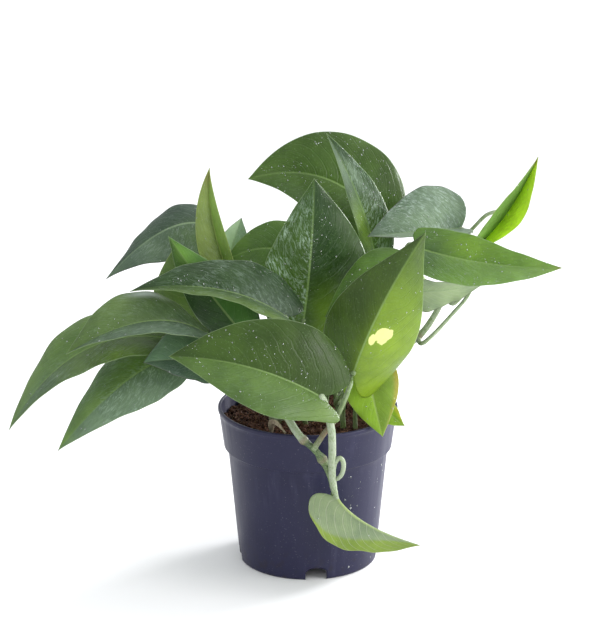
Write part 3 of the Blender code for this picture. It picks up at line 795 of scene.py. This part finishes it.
# Middle surface of a blade with its shares, widths and vein lines
def bladeGrid(name, facts):
    leaf = [np.array(p, float) for p in leafShapes[name]]
    u = np.linspace(0, 1, facts["rows"])
    t = (0.55 * u + 0.45 * (1 - np.cos(np.pi * u)) / 2)[:, None]
    s = crossShares()[None, :]
    a, sign = np.abs(s), np.where(s >= 0, 1.0, -1.0)
    slims, sweeps = bladeSlim.get(name, (plainSlim, plainSlim)), lobeSweep.get(name, (1.0, 1.0))
    slim = [np.where(s >= 0, left, right) for left, right in zip(*slims)]
    sweep = np.where(s >= 0, *sweeps)
    reachLeft, angleLeft = halfReach(leaf, leaf[3], 1, slims[0])
    reachRight, angleRight = halfReach(leaf, leaf[4], -1, slims[1])
    reach, angle = np.where(s >= 0, reachLeft, reachRight), np.where(s >= 0, angleLeft, angleRight)
    along, across, normal = (v[:, None, :] for v in ribFrame(leaf, t[:, 0]))
    out = across * (sign * np.cos(angle))[..., None] + normal * np.sin(angle)[..., None]
    width = reach * heartWidth(t, slim)
    swept = (1 - t) ** 4 * (1 - ((a - 0.62) / 0.62) ** 2) * sweep * (1 - slim[0])
    vein = t - 0.25 * a - 0.10 * a * a
    phase = sum(ord(c) for c in name) % 17
    lift = facts["cup"] * 4 * (a - a * a) * width - facts["curl"] * a ** 5 * width
    pads = facts["quilt"] * np.cos(2 * np.pi * facts["veins"] * vein)
    lift = lift + pads * 4 * a * (1 - a) * (1 - t) ** 0.5
    slow = np.sin(2 * np.pi * (2.3 * t + 0.13 * phase) + 1.7 * sign)
    waves = slow + 0.5 * np.sin(2 * np.pi * (5.1 * t + 0.07 * phase) - sign)
    lift = lift + facts["ripple"] * waves * a ** 3 * np.minimum(1, width / 14)
    point = rib(leaf, t[:, 0])[:, None, :] + out * (width * a)[..., None] + normal * lift[..., None]
    point = point - along * (facts["lobe"] * reach * swept)[..., None]
    return {"point": point, "t": t + 0 * s, "s": s + 0 * t, "a": a + 0 * t, "width": width, "vein": vein}


def surfaceNormals(point):
    along = np.gradient(point, axis=0)
    over = np.gradient(point, axis=1)
    normal = unit(np.cross(along, over))
    normal[-1] = normal[-2][point.shape[1] // 2]
    return normal


# Colour of every point on the upper and lower skin
def bladeTone(name, grid):
    _, left, right, under, streakLeft, streakRight, _, spots = leafLooks[name]
    t, s = grid["t"], grid["s"]
    side = np.clip(s / 0.05 + 0.5, 0, 1)[..., None]
    # the half tones carry painted light and shade: lit and back-lit halves brighter and yellower, shaded
    # halves darker
    top = np.array(tones[right]) * (1 - side) + np.array(tones[left]) * side
    low = np.array(tones[under]) + 0 * top
    # soft spots: pigment, painted light and shade, and a painted highlight
    for where, over, reachT, reachS, tone, strength in spots:
        near = np.exp(-(((t - where) / reachT) ** 2 + ((s - over) / reachS) ** 2))[..., None] * strength
        top = top * (1 - near) + np.array(tones[tone]) * near
    light = np.where(s >= 0, *bladeLight.get(name, (1.0, 1.0)))[..., None]
    top = top * light
    if name == foldLine["leaf"]:
        beyond = (np.abs(s) - foldLine["start"] * (1 - t)) / foldLine["soft"]
        beyond = np.clip(beyond + 0.5, 0, 1)[..., None]
        low = (low * (1 - beyond) + np.array(tones[foldLine["tone"]]) * beyond) * light
    streak = np.where(s >= 0, streakLeft, streakRight) * np.clip((0.95 - t) / 0.25, 0, 1)
    return top, low, streak


# Faces of one skin; the last row is a single tip point
def skinFaces(rows, columns, start, flip):
    faces = gridFaces(rows - 1, columns, start, flip)
    tip = start + (rows - 1) * columns
    last = start + (rows - 2) * columns
    for j in range(columns - 1):
        tri = (last + j, tip, last + j + 1)
        faces.append(tri[::-1] if flip else tri)
    return faces


def makeBlade(name, facts, finishes):
    grid = bladeGrid(name, facts)
    point, rows, columns = grid["point"], *grid["t"].shape
    normal = surfaceNormals(point)
    fromRib = grid["a"] * grid["width"]
    fromEdge = (1 - grid["a"]) * grid["width"]
    taper = 0.35 + 0.65 * (1 - grid["a"] ** 6)
    half = facts["thick"] / 2 * taper * np.minimum(1, 0.3 + grid["width"] / 6)
    fade = 1 - facts["ribFade"] * grid["t"]
    groove = facts["groove"] * np.exp(-(fromRib / facts["grooveWidth"]) ** 2) * fade
    ridge = facts["ridge"] * np.exp(-(fromRib / facts["ridgeWidth"]) ** 2) * fade
    upper = point + normal * (half - groove)[..., None]
    lower = point - normal * (half + ridge)[..., None]
    keep = (rows - 1) * columns
    def flat(values):
        values = values.reshape(rows * columns, -1)
        return np.vstack((values[:keep], values[keep + columns // 2][None]))
    skin = keep + 1
    points = np.vstack((flat(upper), flat(lower))) * mm
    edge = list(range(columns)) + [i * columns + columns - 1 for i in range(1, rows - 1)] + [keep]
    edge += [i * columns for i in range(rows - 2, 0, -1)]
    faces = skinFaces(rows, columns, 0, False) + skinFaces(rows, columns, skin, True)
    faces += rimFaces(edge, skin)
    mesh = bpy.data.meshes.new(name + "Blade")
    mesh.from_pydata(points.tolist(), [], faces)
    top, low, streak = bladeTone(name, grid)
    solid = np.ones((skin, 1))
    mark(mesh, "tone", np.vstack((np.hstack((flat(top), solid)), np.hstack((flat(low), solid)))),
         "FLOAT_COLOR")
    cream = np.zeros_like(grid["t"])
    if name == creamPatch["leaf"]:
        for where, over, reachT, reachS in creamPatch["spots"]:
            cream = np.maximum(cream,
                               1 - 0.5 * np.hypot((grid["t"] - where) / reachT, (grid["s"] - over) / reachS))
    for label, values in (("streak", streak), ("cream", cream), ("vein", grid["vein"]), ("ribGap", fromRib),
                          ("edgeGap", fromEdge), ("share", grid["t"]), ("over", grid["s"])):
        column = flat(values + 0 * grid["t"])
        mark(mesh, label, np.vstack((column, column)))
    mark(mesh, "upper", np.vstack((solid, 0 * solid)))
    outward(mesh)
    mesh.shade_smooth()
    mesh.materials.append(finishes[leafLooks[name][0]])
    place(name + "_blade", mesh, leafLooks[name][0], "leaf_" + name)
    seen = lower if name in seenFromBelow else upper
    return seen[::3, ::2] * mm, grid["t"][::3, ::2], grid["s"][::3, ::2]


def bladeLook(name, facts):
    look, tree, shader, where = newLook(name)
    tone = readMark(tree, "tone", True)
    labels = ("streak", "cream", "vein", "ribGap", "edgeGap", "share", "over", "upper")
    streak, cream, vein, ribGap, edgeGap, share, over, upper = (readMark(tree, label) for label in labels)
    wobble = cloud(tree, where, 42, 3)
    line = calc(tree, "MULTIPLY_ADD", wobble, 0.11, vein)

    def veinMask(count, low):
        saw = calc(tree, "FRACT", times(tree, line, float(count)))
        return remap(tree, fromMiddle(tree, saw), low, 0.5)

    mainVeins = veinMask(facts["veins"], 0.40)
    fineVeins = veinMask(facts["veins"] * 4, 0.30)
    patches = cloud(tree, where, 38, 4, 0.6)
    cells = cloud(tree, where, 700, 2, 0.6)
    grain = cloud(tree, vector3(tree, times(tree, line, 34.0), times(tree, over, 3.0)), 1.0, 4, 0.6)
    stretched = vector3(tree, times(tree, line, 40.0), times(tree, over, 9.0), 3.0)
    flecks = cloud(tree, stretched, 1.0, 7, 0.72, 0.9)
    zones = cloud(tree, where, 55, 3, 0.55)
    colour = blend(tree, remap(tree, patches, 0.30, 0.70), tinted(tree, tone, facts["shade"]),
                   tinted(tree, tone, facts["glow"]))
    colour = blend(tree, remap(tree, grain, 0.45, 0.75, 0.0, 0.16), colour,
                   blend(tree, 0.35, colour, facts["pale"]))
    colour = blend(tree, times(tree, fineVeins, facts["fineShare"]), colour,
                   tinted(tree, tone, facts["crease"]))
    veinShare = times(tree, mainVeins, remap(tree, upper, 0.0, 1.0, 0.30, facts["veinShare"]))
    veinTone = blend(tree, upper, facts["underVein"], blend(tree, 0.45, tone, facts["pale"]))
    colour = blend(tree, veinShare, colour, veinTone)
    colour = blend(tree, remap(tree, cells, 0.60, 0.72, 0.0, 0.25), colour, facts["pale"])
    strength = times(tree, remap(tree, flecks, 0.46, 0.63),
                     times(tree, streak, remap(tree, zones, 0.35, 0.62, 0.25, 1.0)))
    colour = blend(tree, strength, colour, facts["frost"])
    patch = remap(tree, calc(tree, "MULTIPLY_ADD", cloud(tree, where, 190, 3), 0.5, cream), 0.72, 0.78)
    colour = blend(tree, patch, colour, creamPatch["colour"])
    spine = times(tree, remap(tree, ribGap, 0.35, 0.95, 1.0, 0.0), remap(tree, share, 0.2, 1.0, 0.75, 0.15))
    colour = blend(tree, spine, colour, facts["rib"])
    hem = remap(tree, edgeGap, 0.15, 0.65, facts["hemShare"], 0.0)
    colour = blend(tree, hem, colour, facts["hem"])
    rough = plus(tree, remap(tree, upper, 0.0, 1.0, 0.52, facts["rough"]),
                 remap(tree, patches, 0.3, 0.7, -0.04, 0.10))
    height = calc(tree, "MULTIPLY_ADD", mainVeins, -0.3, times(tree, cells, 0.30))
    height = calc(tree, "MULTIPLY_ADD", fineVeins, -0.10, plus(tree, height, times(tree, patches, 0.9)))
    dress(tree, shader, colour, rough, relief(tree, height, 0.0006, 0.7))
    shader.inputs["Specular IOR Level"].default_value = facts["gloss"]
    through = addNode(tree, "ShaderNodeBsdfTranslucent", {"Color": tinted(tree, colour, facts["through"])})
    both = addNode(tree, "ShaderNodeMixShader",
                   {0: facts["thin"], 1: shader.outputs[0], 2: through.outputs[0]})
    plug(tree, tree.nodes["Material Output"].inputs["Surface"], both.outputs[0])
    return look


greenFinish = {"veins": 11, "shade": (0.78, 0.80, 0.80), "glow": (1.22, 1.18, 1.10),
               "pale": (0.20, 0.32, 0.14),
               "frost": (0.40, 0.52, 0.43), "rib": (0.22, 0.33, 0.11), "hem": (0.26, 0.36, 0.18),
               "hemShare": 0.55,
               "fineShare": 0.05, "veinShare": 0.08, "rough": 0.36, "through": (1.5, 1.7, 0.6),
               "underVein": (0.50, 0.54, 0.40), "crease": (0.62, 0.66, 0.60), "gloss": 0.28, "thin": 0.22}
bladeFinishes = {
    "leaf_green": bladeLook("greenBlade", greenFinish),
    "leaf_lime": bladeLook("limeBlade",
                           dict(greenFinish, pale=(0.34, 0.44, 0.16), rib=(0.36, 0.46, 0.16),
                                hem=(0.36, 0.42, 0.16),
                                veinShare=0.16, rough=0.38, through=(1.6, 1.6, 0.6))),
    "leaf_sage": bladeLook("sageBlade",
                           dict(greenFinish, pale=(0.26, 0.36, 0.27), frost=(0.52, 0.62, 0.57),
                                rib=(0.26, 0.36, 0.20),
                                hem=(0.15, 0.13, 0.13), veinShare=0.16, rough=0.36, through=(1.2, 1.4, 0.9))),
}

wetSkins = {}
for leafName in leafShapes:
    wetSkins[leafName] = makeBlade(leafName, bladeFacts, bladeFinishes)
print("blades grown,", len(wetSkins))


# stems and stalks

stemFacts = {"sides": 14, "groove": 0.12, "lump": 0.10,
             "green": (0.150, 0.225, 0.080), "pale": (0.32, 0.38, 0.26), "old": (0.17, 0.09, 0.06),
             "dark": (0.045, 0.085, 0.028)}

# path (height None = on the soil), radius along the path, rings on it, paleness along it
stemRoutes = {
    "main_vine": (((-24, -16, None), (-21, -32, 112), (-15, -48, 119), (-9, -62, 115), (-4, -67, 110),
                   (4, -68, 103),
                   (10, -67, 94.5), (14, -67, 86), (16, -68.5, 81), (17.2, -70.3, 75.5), (18.8, -72, 70.5),
                   (20.5, -73.2, 68)),
                  ((0, 2.6), (0.40, 2.7), (0.43, 2.9), (0.45, 2.3), (0.53, 2.3), (0.575, 3.1), (0.62, 2.3),
                   (0.80, 2.5), (0.88, 1.9), (1, 0.9)),
                  (0.43, 0.575),
                  ((0, 0.6), (0.25, 1.0), (0.43, 1.0), (0.45, 0.1), (0.55, 0.1), (0.58, 0.7), (0.62, 0.25),
                   (0.75, 0.3), (0.85, 0.9), (1, 1))),
    "left_stem": (((-20, -6, None), (-28, -16, 124), (-40, -27, 142), (-54, -36, 155)), ((0, 3.0), (1, 2.4)),
                  (0.3, 0.55, 0.8), ((0, 0.4), (1, 0.6))),
    "right_stem": (((22, -2, None), (34, -2, 124), (56, 0, 144), (76, 6, 158), (87, 14, 171), (95, 21, 186)),
                   ((0, 3.0), (1, 2.0)), (0.22, 0.42, 0.66), ((0, 0.3), (0.5, 0.5), (1, 1.0))),
    "back_stem": (((0, 18, None), (-2, 24, 128), (2, 30, 152), (6, 34, 168)), ((0, 3.0), (1, 2.4)), (0.55,),
                  ((0, 0.4), (1, 0.5))),
    "curled_shoot": (((16.8, -72, 86), (17.0, -74.6, 91), (18.0, -75.6, 96), (20.4, -75.8, 99.5),
                      (22.6, -75.4, 98), (23.4, -75, 93.5),
                      (22.4, -74.6, 88), (19.8, -74, 84.5), (17.2, -71.5, 82.5)),
                     ((0, 1.5), (0.3, 1.5), (0.6, 1.75), (1, 1.2)), (),
                     ((0, 0.9), (0.4, 0.8), (0.6, 1), (1, 1))),
}

stalkPaleness = {"front_low": 0.95, "front_right": 0.55, "right_grey": 0.7, "right_upper": 0.75,
                 "right_wide": 0.7}

# radius, start on a stem (name, share) or on the soil (x, y), points passed on the way
stalkRoutes = {
    "front_low": (2.7, (17.6, -71.0, 73), (16.8, -73.2, 80), (16, -74.8, 88), (16, -75.4, 97), (16, -76, 110),
                  (15, -79, 123)),
    "front_right": (1.7, (3.5, -68.5, 103.5), (6, -69.5, 107.5), (11, -69, 115), (18, -68, 124),
                    (25, -70, 141), (28, -69, 150)),
    "centre": (1.5, (-2, -12), (-2, -20, 140)),
    "centre_left": (1.5, ("left_stem", 0.35), (-20, -34, 165)),
    "left_over": (1.5, ("left_stem", 0.96), (-52, -40, 172)),
    "far_left": (1.5, ("left_stem", 0.9), (-76, -40, 168)),
    "lower_left": (1.5, ("left_stem", 0.8), (-70, -36, 156)),
    "left_inner": (1.5, ("left_stem", 0.5), (-36, -44, 160)),
    "inner_left": (1.5, ("left_stem", 0.25), (-34, -16, 148)),
    "inner_left_back": (1.5, (-24, 6), (-44, 0, 135)),
    "upright_narrow": (1.5, (-12, 2), (-38, -4, 165)),
    "upper_left": (1.5, ("back_stem", 0.55), (-28, 34, 185)),
    "small_pale": (1.3, (-14, 16), (-42, 10, 170)),
    "behind_centre": (1.5, (4, 6), (6, 8, 165)),
    "top_back": (1.5, ("back_stem", 0.97), (22, 38, 206)),
    "top_folded": (1.5, (14, 8), (36, 10, 175)),
    "right_grey": (1.4, ("right_stem", 0.97), (129, 34, 222), (132, 38, 235), (122, 35, 235)),
    "right_upper": (1.4, ("right_stem", 0.66), (97, 6, 172), (111, 9, 191)),
    "right_wide": (1.5, ("right_stem", 0.3), (40, -12, 150), (56, -14, 195)),
    "right_under": (1.5, ("right_stem", 0.42), (56, 2, 170)),
    "behind_right": (1.5, ("right_stem", 0.22), (38, -16, 145), (54, -28, 190)),
    "right_drop": (1.5, (24, -20), (30, -22, 158)),
    "right_drop_small": (1.3, (32, -22), (34, -28, 128)),
    "back_right": (1.5, (20, 24), (28, 38, 150)),
    "back_left": (1.5, (-14, 34), (-18, 38, 150)),
}


# Smooth curve through the points
def smoothPath(points, perSpan):
    pts = [np.array(p, float) for p in points]
    pts = [2 * pts[0] - pts[1]] + pts + [2 * pts[-1] - pts[-2]]
    path = []
    for k in range(1, len(pts) - 2):
        a, b, c, d = pts[k - 1:k + 3]
        for j in range(perSpan):
            t = j / perSpan
            bend, twist = 2 * a - 5 * b + 4 * c - d, 3 * b - a - 3 * c + d
            path.append(0.5 * (2 * b + (c - a) * t + bend * t * t + twist * t ** 3))
    path.append(pts[-2])
    return path


def stemLook(facts):
    look, tree, shader, where = newLook("stemSkin")
    share, around, age, paleness = (readMark(tree, label) for label in ("share", "around", "age", "paleness"))
    side = fromMiddle(tree, around)
    fibres = cloud(tree, vector3(tree, times(tree, side, 26.0), times(tree, share, 9.0)), 1.0, 4, 0.6)
    patches = cloud(tree, where, 90, 4, 0.6)
    specks = cloud(tree, where, 800, 2, 0.6)
    light = plus(tree, paleness, remap(tree, fibres, 0.3, 0.7, -0.3, 0.3))
    light = plus(tree, light, remap(tree, patches, 0.35, 0.75, 0.1, -0.25))
    colour = blend(tree, remap(tree, light, 0.0, 0.5), facts["dark"], facts["green"])
    colour = blend(tree, remap(tree, light, 0.45, 1.05), colour, facts["pale"])
    colour = blend(tree, remap(tree, specks, 0.60, 0.72, 0.0, 0.5), colour, facts["pale"])
    colour = blend(tree, times(tree, age, remap(tree, patches, 0.25, 0.6, 0.5, 1.0)), colour, facts["old"])
    shader.inputs["Subsurface Weight"].default_value = 0.15
    shader.inputs["Subsurface Radius"].default_value = (0.6, 1.0, 0.3)
    shader.inputs["Subsurface Scale"].default_value = 0.001
    height = plus(tree, times(tree, fibres, 0.8), times(tree, specks, 0.3))
    dress(tree, shader, colour, remap(tree, fibres, 0.3, 0.7, 0.34, 0.52), relief(tree, height, 0.0004, 0.8))
    return look


def stemTree():
    tree, start, end = newTree("stemAlongPath",
                               {"Sides": 14, "Groove": 0.12, "Lump": 0.0001, "Finish": bpy.data.materials[0]})
    line = addNode(tree, "GeometryNodeMeshToCurve", {0: start.outputs["Geometry"]})
    ring = addNode(tree, "GeometryNodeCurvePrimitiveCircle",
                   {"Resolution": start.outputs["Sides"], "Radius": 1.0})
    turn = addNode(tree, "GeometryNodeSplineParameter")
    dip = remap(tree, fromMiddle(tree, turn.outputs[0]), 0.0, 0.14, 1.0, 0.0)
    shrink = calc(tree, "MULTIPLY_ADD", dip, times(tree, start.outputs["Groove"], -1.0), 1.0)
    spot = addNode(tree, "GeometryNodeInputPosition").outputs[0]
    grooved = addNode(tree, "ShaderNodeVectorMath", {0: spot, "Scale": shrink}, operation="SCALE")
    shaped = addNode(tree, "GeometryNodeSetPosition",
                     {"Geometry": ring.outputs[0], "Position": grooved.outputs[0]})
    marked = addNode(tree, "GeometryNodeStoreNamedAttribute",
                     {"Geometry": shaped.outputs[0], "Name": "around", "Value": turn.outputs[0]},
                     data_type="FLOAT", domain="POINT")
    girth = addNode(tree, "GeometryNodeInputNamedAttribute", {"Name": "girth"}, data_type="FLOAT")
    skin = addNode(tree, "GeometryNodeCurveToMesh",
                   {"Curve": line.outputs[0], "Profile Curve": marked.outputs[0],
                    "Scale": girth.outputs[0], "Fill Caps": True})
    bumps = addNode(tree, "ShaderNodeTexNoise", {"Scale": 160.0, "Detail": 2.0})
    push = times(tree, minus(tree, bumps.outputs[0], 0.5), start.outputs["Lump"])
    away = addNode(tree, "GeometryNodeInputNormal")
    offset = addNode(tree, "ShaderNodeVectorMath", {0: away.outputs[0], "Scale": push}, operation="SCALE")
    uneven = addNode(tree, "GeometryNodeSetPosition",
                     {"Geometry": skin.outputs[0], "Offset": offset.outputs[0]})
    finishTree(tree, end, uneven.outputs[0], start.outputs["Finish"])
    return tree


def makeStem(name, path, girth, age, paleness, facts, tree, finish, node):
    line = bpy.data.meshes.new(name + "Path")
    line.from_pydata([tuple(p * mm) for p in path], [(k, k + 1) for k in range(len(path) - 1)], [])
    mark(line, "girth", np.array(girth) * mm)
    mark(line, "age", age)
    mark(line, "paleness", paleness)
    mark(line, "share", np.linspace(0, len(path) * 0.06, len(path)))
    mesh = grow(name + "Skin", line, tree, {"Sides": facts["sides"], "Groove": facts["groove"],
                                            "Lump": facts["lump"] * 2 * mm, "Finish": finish})
    outward(mesh)
    return place(name, mesh, "stem", node)


def makeStems(facts):
    tree, finish, paths = stemTree(), stemLook(facts), {}
    for name, (points, radii, rings, paleness) in stemRoutes.items():
        first = points[0]
        if first[2] is None:
            foot = soilHeight(*first[:2]) - 3
            points = ((*first[:2], foot), (*first[:2], foot + 13.3)) + tuple(points[1:])
        path = smoothPath(points, 10)
        share = np.linspace(0, 1, len(path))
        near = sum(np.exp(-((share - ring) / 0.022) ** 2) for ring in rings) if rings else 0 * share
        girth = np.interp(share, *zip(*radii)) * (1 + 0.16 * near)
        makeStem(name + "_skin", path, girth, 0.6 * near ** 2 + 0.5 * np.exp(-share / 0.05),
                 np.interp(share, *zip(*paleness)),
                 facts, tree, finish, name)
        paths[name] = (path, radii)
    for name, (radius, start, *way) in stalkRoutes.items():
        leaf = [np.array(p, float) for p in leafShapes[name]]
        way = [np.array(p, float) for p in way]
        if isinstance(start[0], str):
            path, radii = paths[start[0]]
            k = min(int(start[1] * (len(path) - 1)), len(path) - 2)
            run = unit(path[k + 1] - path[k])
            out = way[0] - path[k]
            out = unit(out - run * float(out @ run))
            first = [path[k], path[k] + out * (float(np.interp(start[1], *zip(*radii))) + 8)]
        elif len(start) == 3:
            first = [np.array(start, float)]
        else:
            foot = soilHeight(*start)
            first = [np.array((*start, foot - 3)), np.array((*start, foot + 17.3))]
        along, _, normal = ribFrame(leaf, 0.0)
        ending = [leaf[0] - along * 8 - normal * 6, leaf[0] - along * 1.5 - normal * 0.8,
                  leaf[0] + along * 1.5 - normal * 0.7]
        path = smoothPath(first + way + ending, 8)
        share = np.linspace(0, 1, len(path))
        girth = radius * np.interp(share, (0, 0.04, 0.12, 0.3, 0.84, 0.90, 0.95, 1),
                                   (1.5, 1.35, 1.15, 1.0, 0.95, 1.12, 0.9, 0.55))
        age = 0.5 * np.exp(-share / 0.04)
        if name == "front_right":
            age = 0.85 * np.exp(-((share - 0.24) / 0.12) ** 2)
        if name == "front_low":
            girth, age = girth * np.interp(share, (0, 0.10, 0.34), (0.42, 0.75, 1.0)), 0 * share
        makeStem(name + "_stalk", path, girth, age, stalkPaleness.get(name, 0.5) + 0 * share, facts, tree,
                 finish, "stalk_" + name)
    print("stems and stalks grown,", len(stemRoutes) + len(stalkRoutes))


makeStems(stemFacts)


# dry sheath beside the vine

sheathFacts = {
    "route": ((-25, -44, 105), (-24.5, -49, 114), (-20.5, -53.5, 114.5), (-15.5, -56.5, 109.5)),
    "thick": 0.32, "halfWidth": 2.3, "cup": 1.5, "ripple": 0.35, "columns": 9,
    "paper": (0.28, 0.24, 0.16), "shade": (0.12, 0.09, 0.055),
}


def makeSheath(facts):
    spine = smoothPath(facts["route"], 8)
    rows, columns, points = len(spine), facts["columns"], []
    for skin in (facts["thick"] / 2, -facts["thick"] / 2):
        for k, p in enumerate(spine):
            share = k / (rows - 1)
            run = unit(spine[min(k + 1, rows - 1)] - spine[max(k - 1, 0)])
            side = unit(np.cross(run, np.array((0.2, 0.75, 0.6))))
            up = np.cross(side, run)
            wide = facts["halfWidth"] * math.sin(math.pi * min(0.97, 0.12 + share)) ** 0.7
            for j in range(columns):
                s = 2 * j / (columns - 1) - 1
                wave = facts["ripple"] * math.sin(9 * share + 3 * s)
                points.append((p + side * wide * s + up * (facts["cup"] * s * s + wave + skin)) * mm)
    block, faces = rows * columns, []
    for i in range(rows - 1):
        for j in range(columns - 1):
            a = i * columns + j
            faces += [(a, a + 1, a + columns + 1, a + columns),
                      (a + block, a + block + columns, a + block + columns + 1, a + block + 1)]
    edge = list(range(columns)) + [i * columns + columns - 1 for i in range(1, rows)]
    edge += [block - 1 - j for j in range(1, columns)] + [i * columns for i in range(rows - 2, 0, -1)]
    faces += rimFaces(edge, block)
    mesh = bpy.data.meshes.new("drySheath")
    mesh.from_pydata([tuple(p) for p in points], [], faces)
    outward(mesh)
    mesh.shade_smooth()
    look, tree, shader, where = newLook("paperySheath")
    threads = cloud(tree,
                    addNode(tree, "ShaderNodeMapping", {"Vector": where, "Scale": (1, 1, 0.25)}).outputs[0],
                    700, 4, 0.6)
    colour = blend(tree, remap(tree, threads, 0.35, 0.68), facts["paper"], facts["shade"])
    dress(tree, shader, colour, remap(tree, threads, 0.3, 0.7, 0.6, 0.85), relief(tree, threads, 0.0003))
    mesh.materials.append(look)
    return place("dry_sheath", mesh, "stem")


makeSheath(sheathFacts)
print("sheath made")


# water drops

dropFacts = {"seed": 23, "smallest": 0.16, "largest": 0.60, "gap": 1.2, "density": 110000.0,
             "flatness": 0.45, "stretch": 1.15, "wettest": 1.5, "segments": 7, "rings": 5,
             "potSmallest": 0.3, "potLargest": 0.9, "potGap": 2.0, "potDensity": 9000.0}


def dropLook():
    look, tree, shader, where = newLook("waterDrop")
    tint = blend(tree, remap(tree, cloud(tree, where, 300, 2), 0.4, 0.6), (0.86, 0.94, 0.88),
                 (0.97, 1.0, 0.98))
    dress(tree, shader, tint, remap(tree, cloud(tree, where, 500, 2), 0.4, 0.6, 0.03, 0.12))
    shader.inputs["Transmission Weight"].default_value = 0.75
    shader.inputs["IOR"].default_value = 1.33
    return look


def dropTree(facts):
    tree, start, end = newTree("waterDrops",
                               {"Density": 40000.0, "Gap": 0.0013, "Smallest": 0.0002, "Largest": 0.0009,
                                "Flatness": 0.5,
                                "Stretch": 1.0, "Seed": 23, "Finish": bpy.data.materials[0]})
    wet = addNode(tree, "GeometryNodeInputNamedAttribute", {"Name": "wet"}, data_type="FLOAT")
    spacing = {"Distance Min": start.outputs["Gap"], "Density Max": start.outputs["Density"],
               "Density Factor": wet.outputs[0]}
    points = strew(tree, start, spacing, distribute_method="POISSON")
    size = skewedSize(tree, start, 2, 2.6)
    bead = addNode(tree, "GeometryNodeMeshUVSphere",
                   {"Segments": facts["segments"], "Rings": facts["rings"], "Radius": 1.0})
    shape = vector3(tree, size, times(tree, size, start.outputs["Stretch"]),
                    times(tree, size, start.outputs["Flatness"]))
    putOnPoints(tree, start, end, points, bead, points.outputs[2], shape)
    return tree


def wetMesh(names, wettest):
    points, faces, wetness = [], [], []
    for name in names:
        skin, t, s = wetSkins[name]
        rows, columns = t.shape
        start = len(points)
        points += skin.reshape(-1, 3).tolist()
        level = leafLooks[name][6]
        wetness += np.clip(level * (0.45 + 0.55 * np.sin(7 * t + 5 * s + start)), 0, wettest).ravel().tolist()
        faces += gridFaces(rows - 1, columns, start, name in seenFromBelow)
    mesh = bpy.data.meshes.new("wetSkin")
    mesh.from_pydata(points, [], faces)
    mark(mesh, "wet", np.array(wetness) / wettest)
    return mesh


# Strip of the pot wall to scatter on, on its right
def potSide(facts):
    steps, rows, points, faces, wetness = 30, 16, [], [], []
    step = facts["height"] - facts["band"]
    for i in range(rows):
        height = 6 + (step - 12) * i / (rows - 1)
        radius = facts["foot"] + (facts["wallTop"] - facts["foot"]) * (height - 2) / (step - 3.2)
        for j in range(steps):
            turn = math.radians(-78 + 80 * j / (steps - 1))
            points.append((radius * math.cos(turn) * mm, radius * math.sin(turn) * mm, height * mm))
            wetness.append(0.35 + 0.65 * math.exp(-((turn + 0.75) / 0.35) ** 2))
    for i in range(rows - 1):
        for j in range(steps - 1):
            a = i * steps + j
            faces.append((a, a + 1, a + steps + 1, a + steps))
    mesh = bpy.data.meshes.new("potSide")
    mesh.from_pydata(points, [], faces)
    mark(mesh, "wet", wetness)
    return mesh


def makeDrops(facts):
    tree, finish, beadFaces = dropTree(facts), dropLook(), facts["segments"] * facts["rings"]
    values = {"Density": facts["density"] * facts["wettest"], "Gap": facts["gap"] * mm,
              "Smallest": facts["smallest"] * mm,
              "Largest": facts["largest"] * mm, "Flatness": facts["flatness"], "Stretch": facts["stretch"],
              "Seed": facts["seed"], "Finish": finish}
    leftSide = [name for name in leafShapes if leafShapes[name][1][0] < 0]
    rightSide = [name for name in leafShapes if name not in leftSide]
    for label, names in (("left", leftSide), ("right", rightSide)):
        drops = grow(label + "Drops", wetMesh(names, facts["wettest"]), tree, values)
        place(f"leaf_drops_{label}", drops, "leaf_green")
        print(label, "drops,", len(drops.polygons) // beadFaces)
    drops = grow("potDrops", potSide(potFacts), tree,
                 dict(values, Density=facts["potDensity"], Gap=facts["potGap"] * mm,
                      Smallest=facts["potSmallest"] * mm, Largest=facts["potLargest"] * mm))
    place("pot_drops", drops, "pot_plastic")
    print("pot drops,", len(drops.polygons) // beadFaces)


makeDrops(dropFacts)


print("pieces placed")
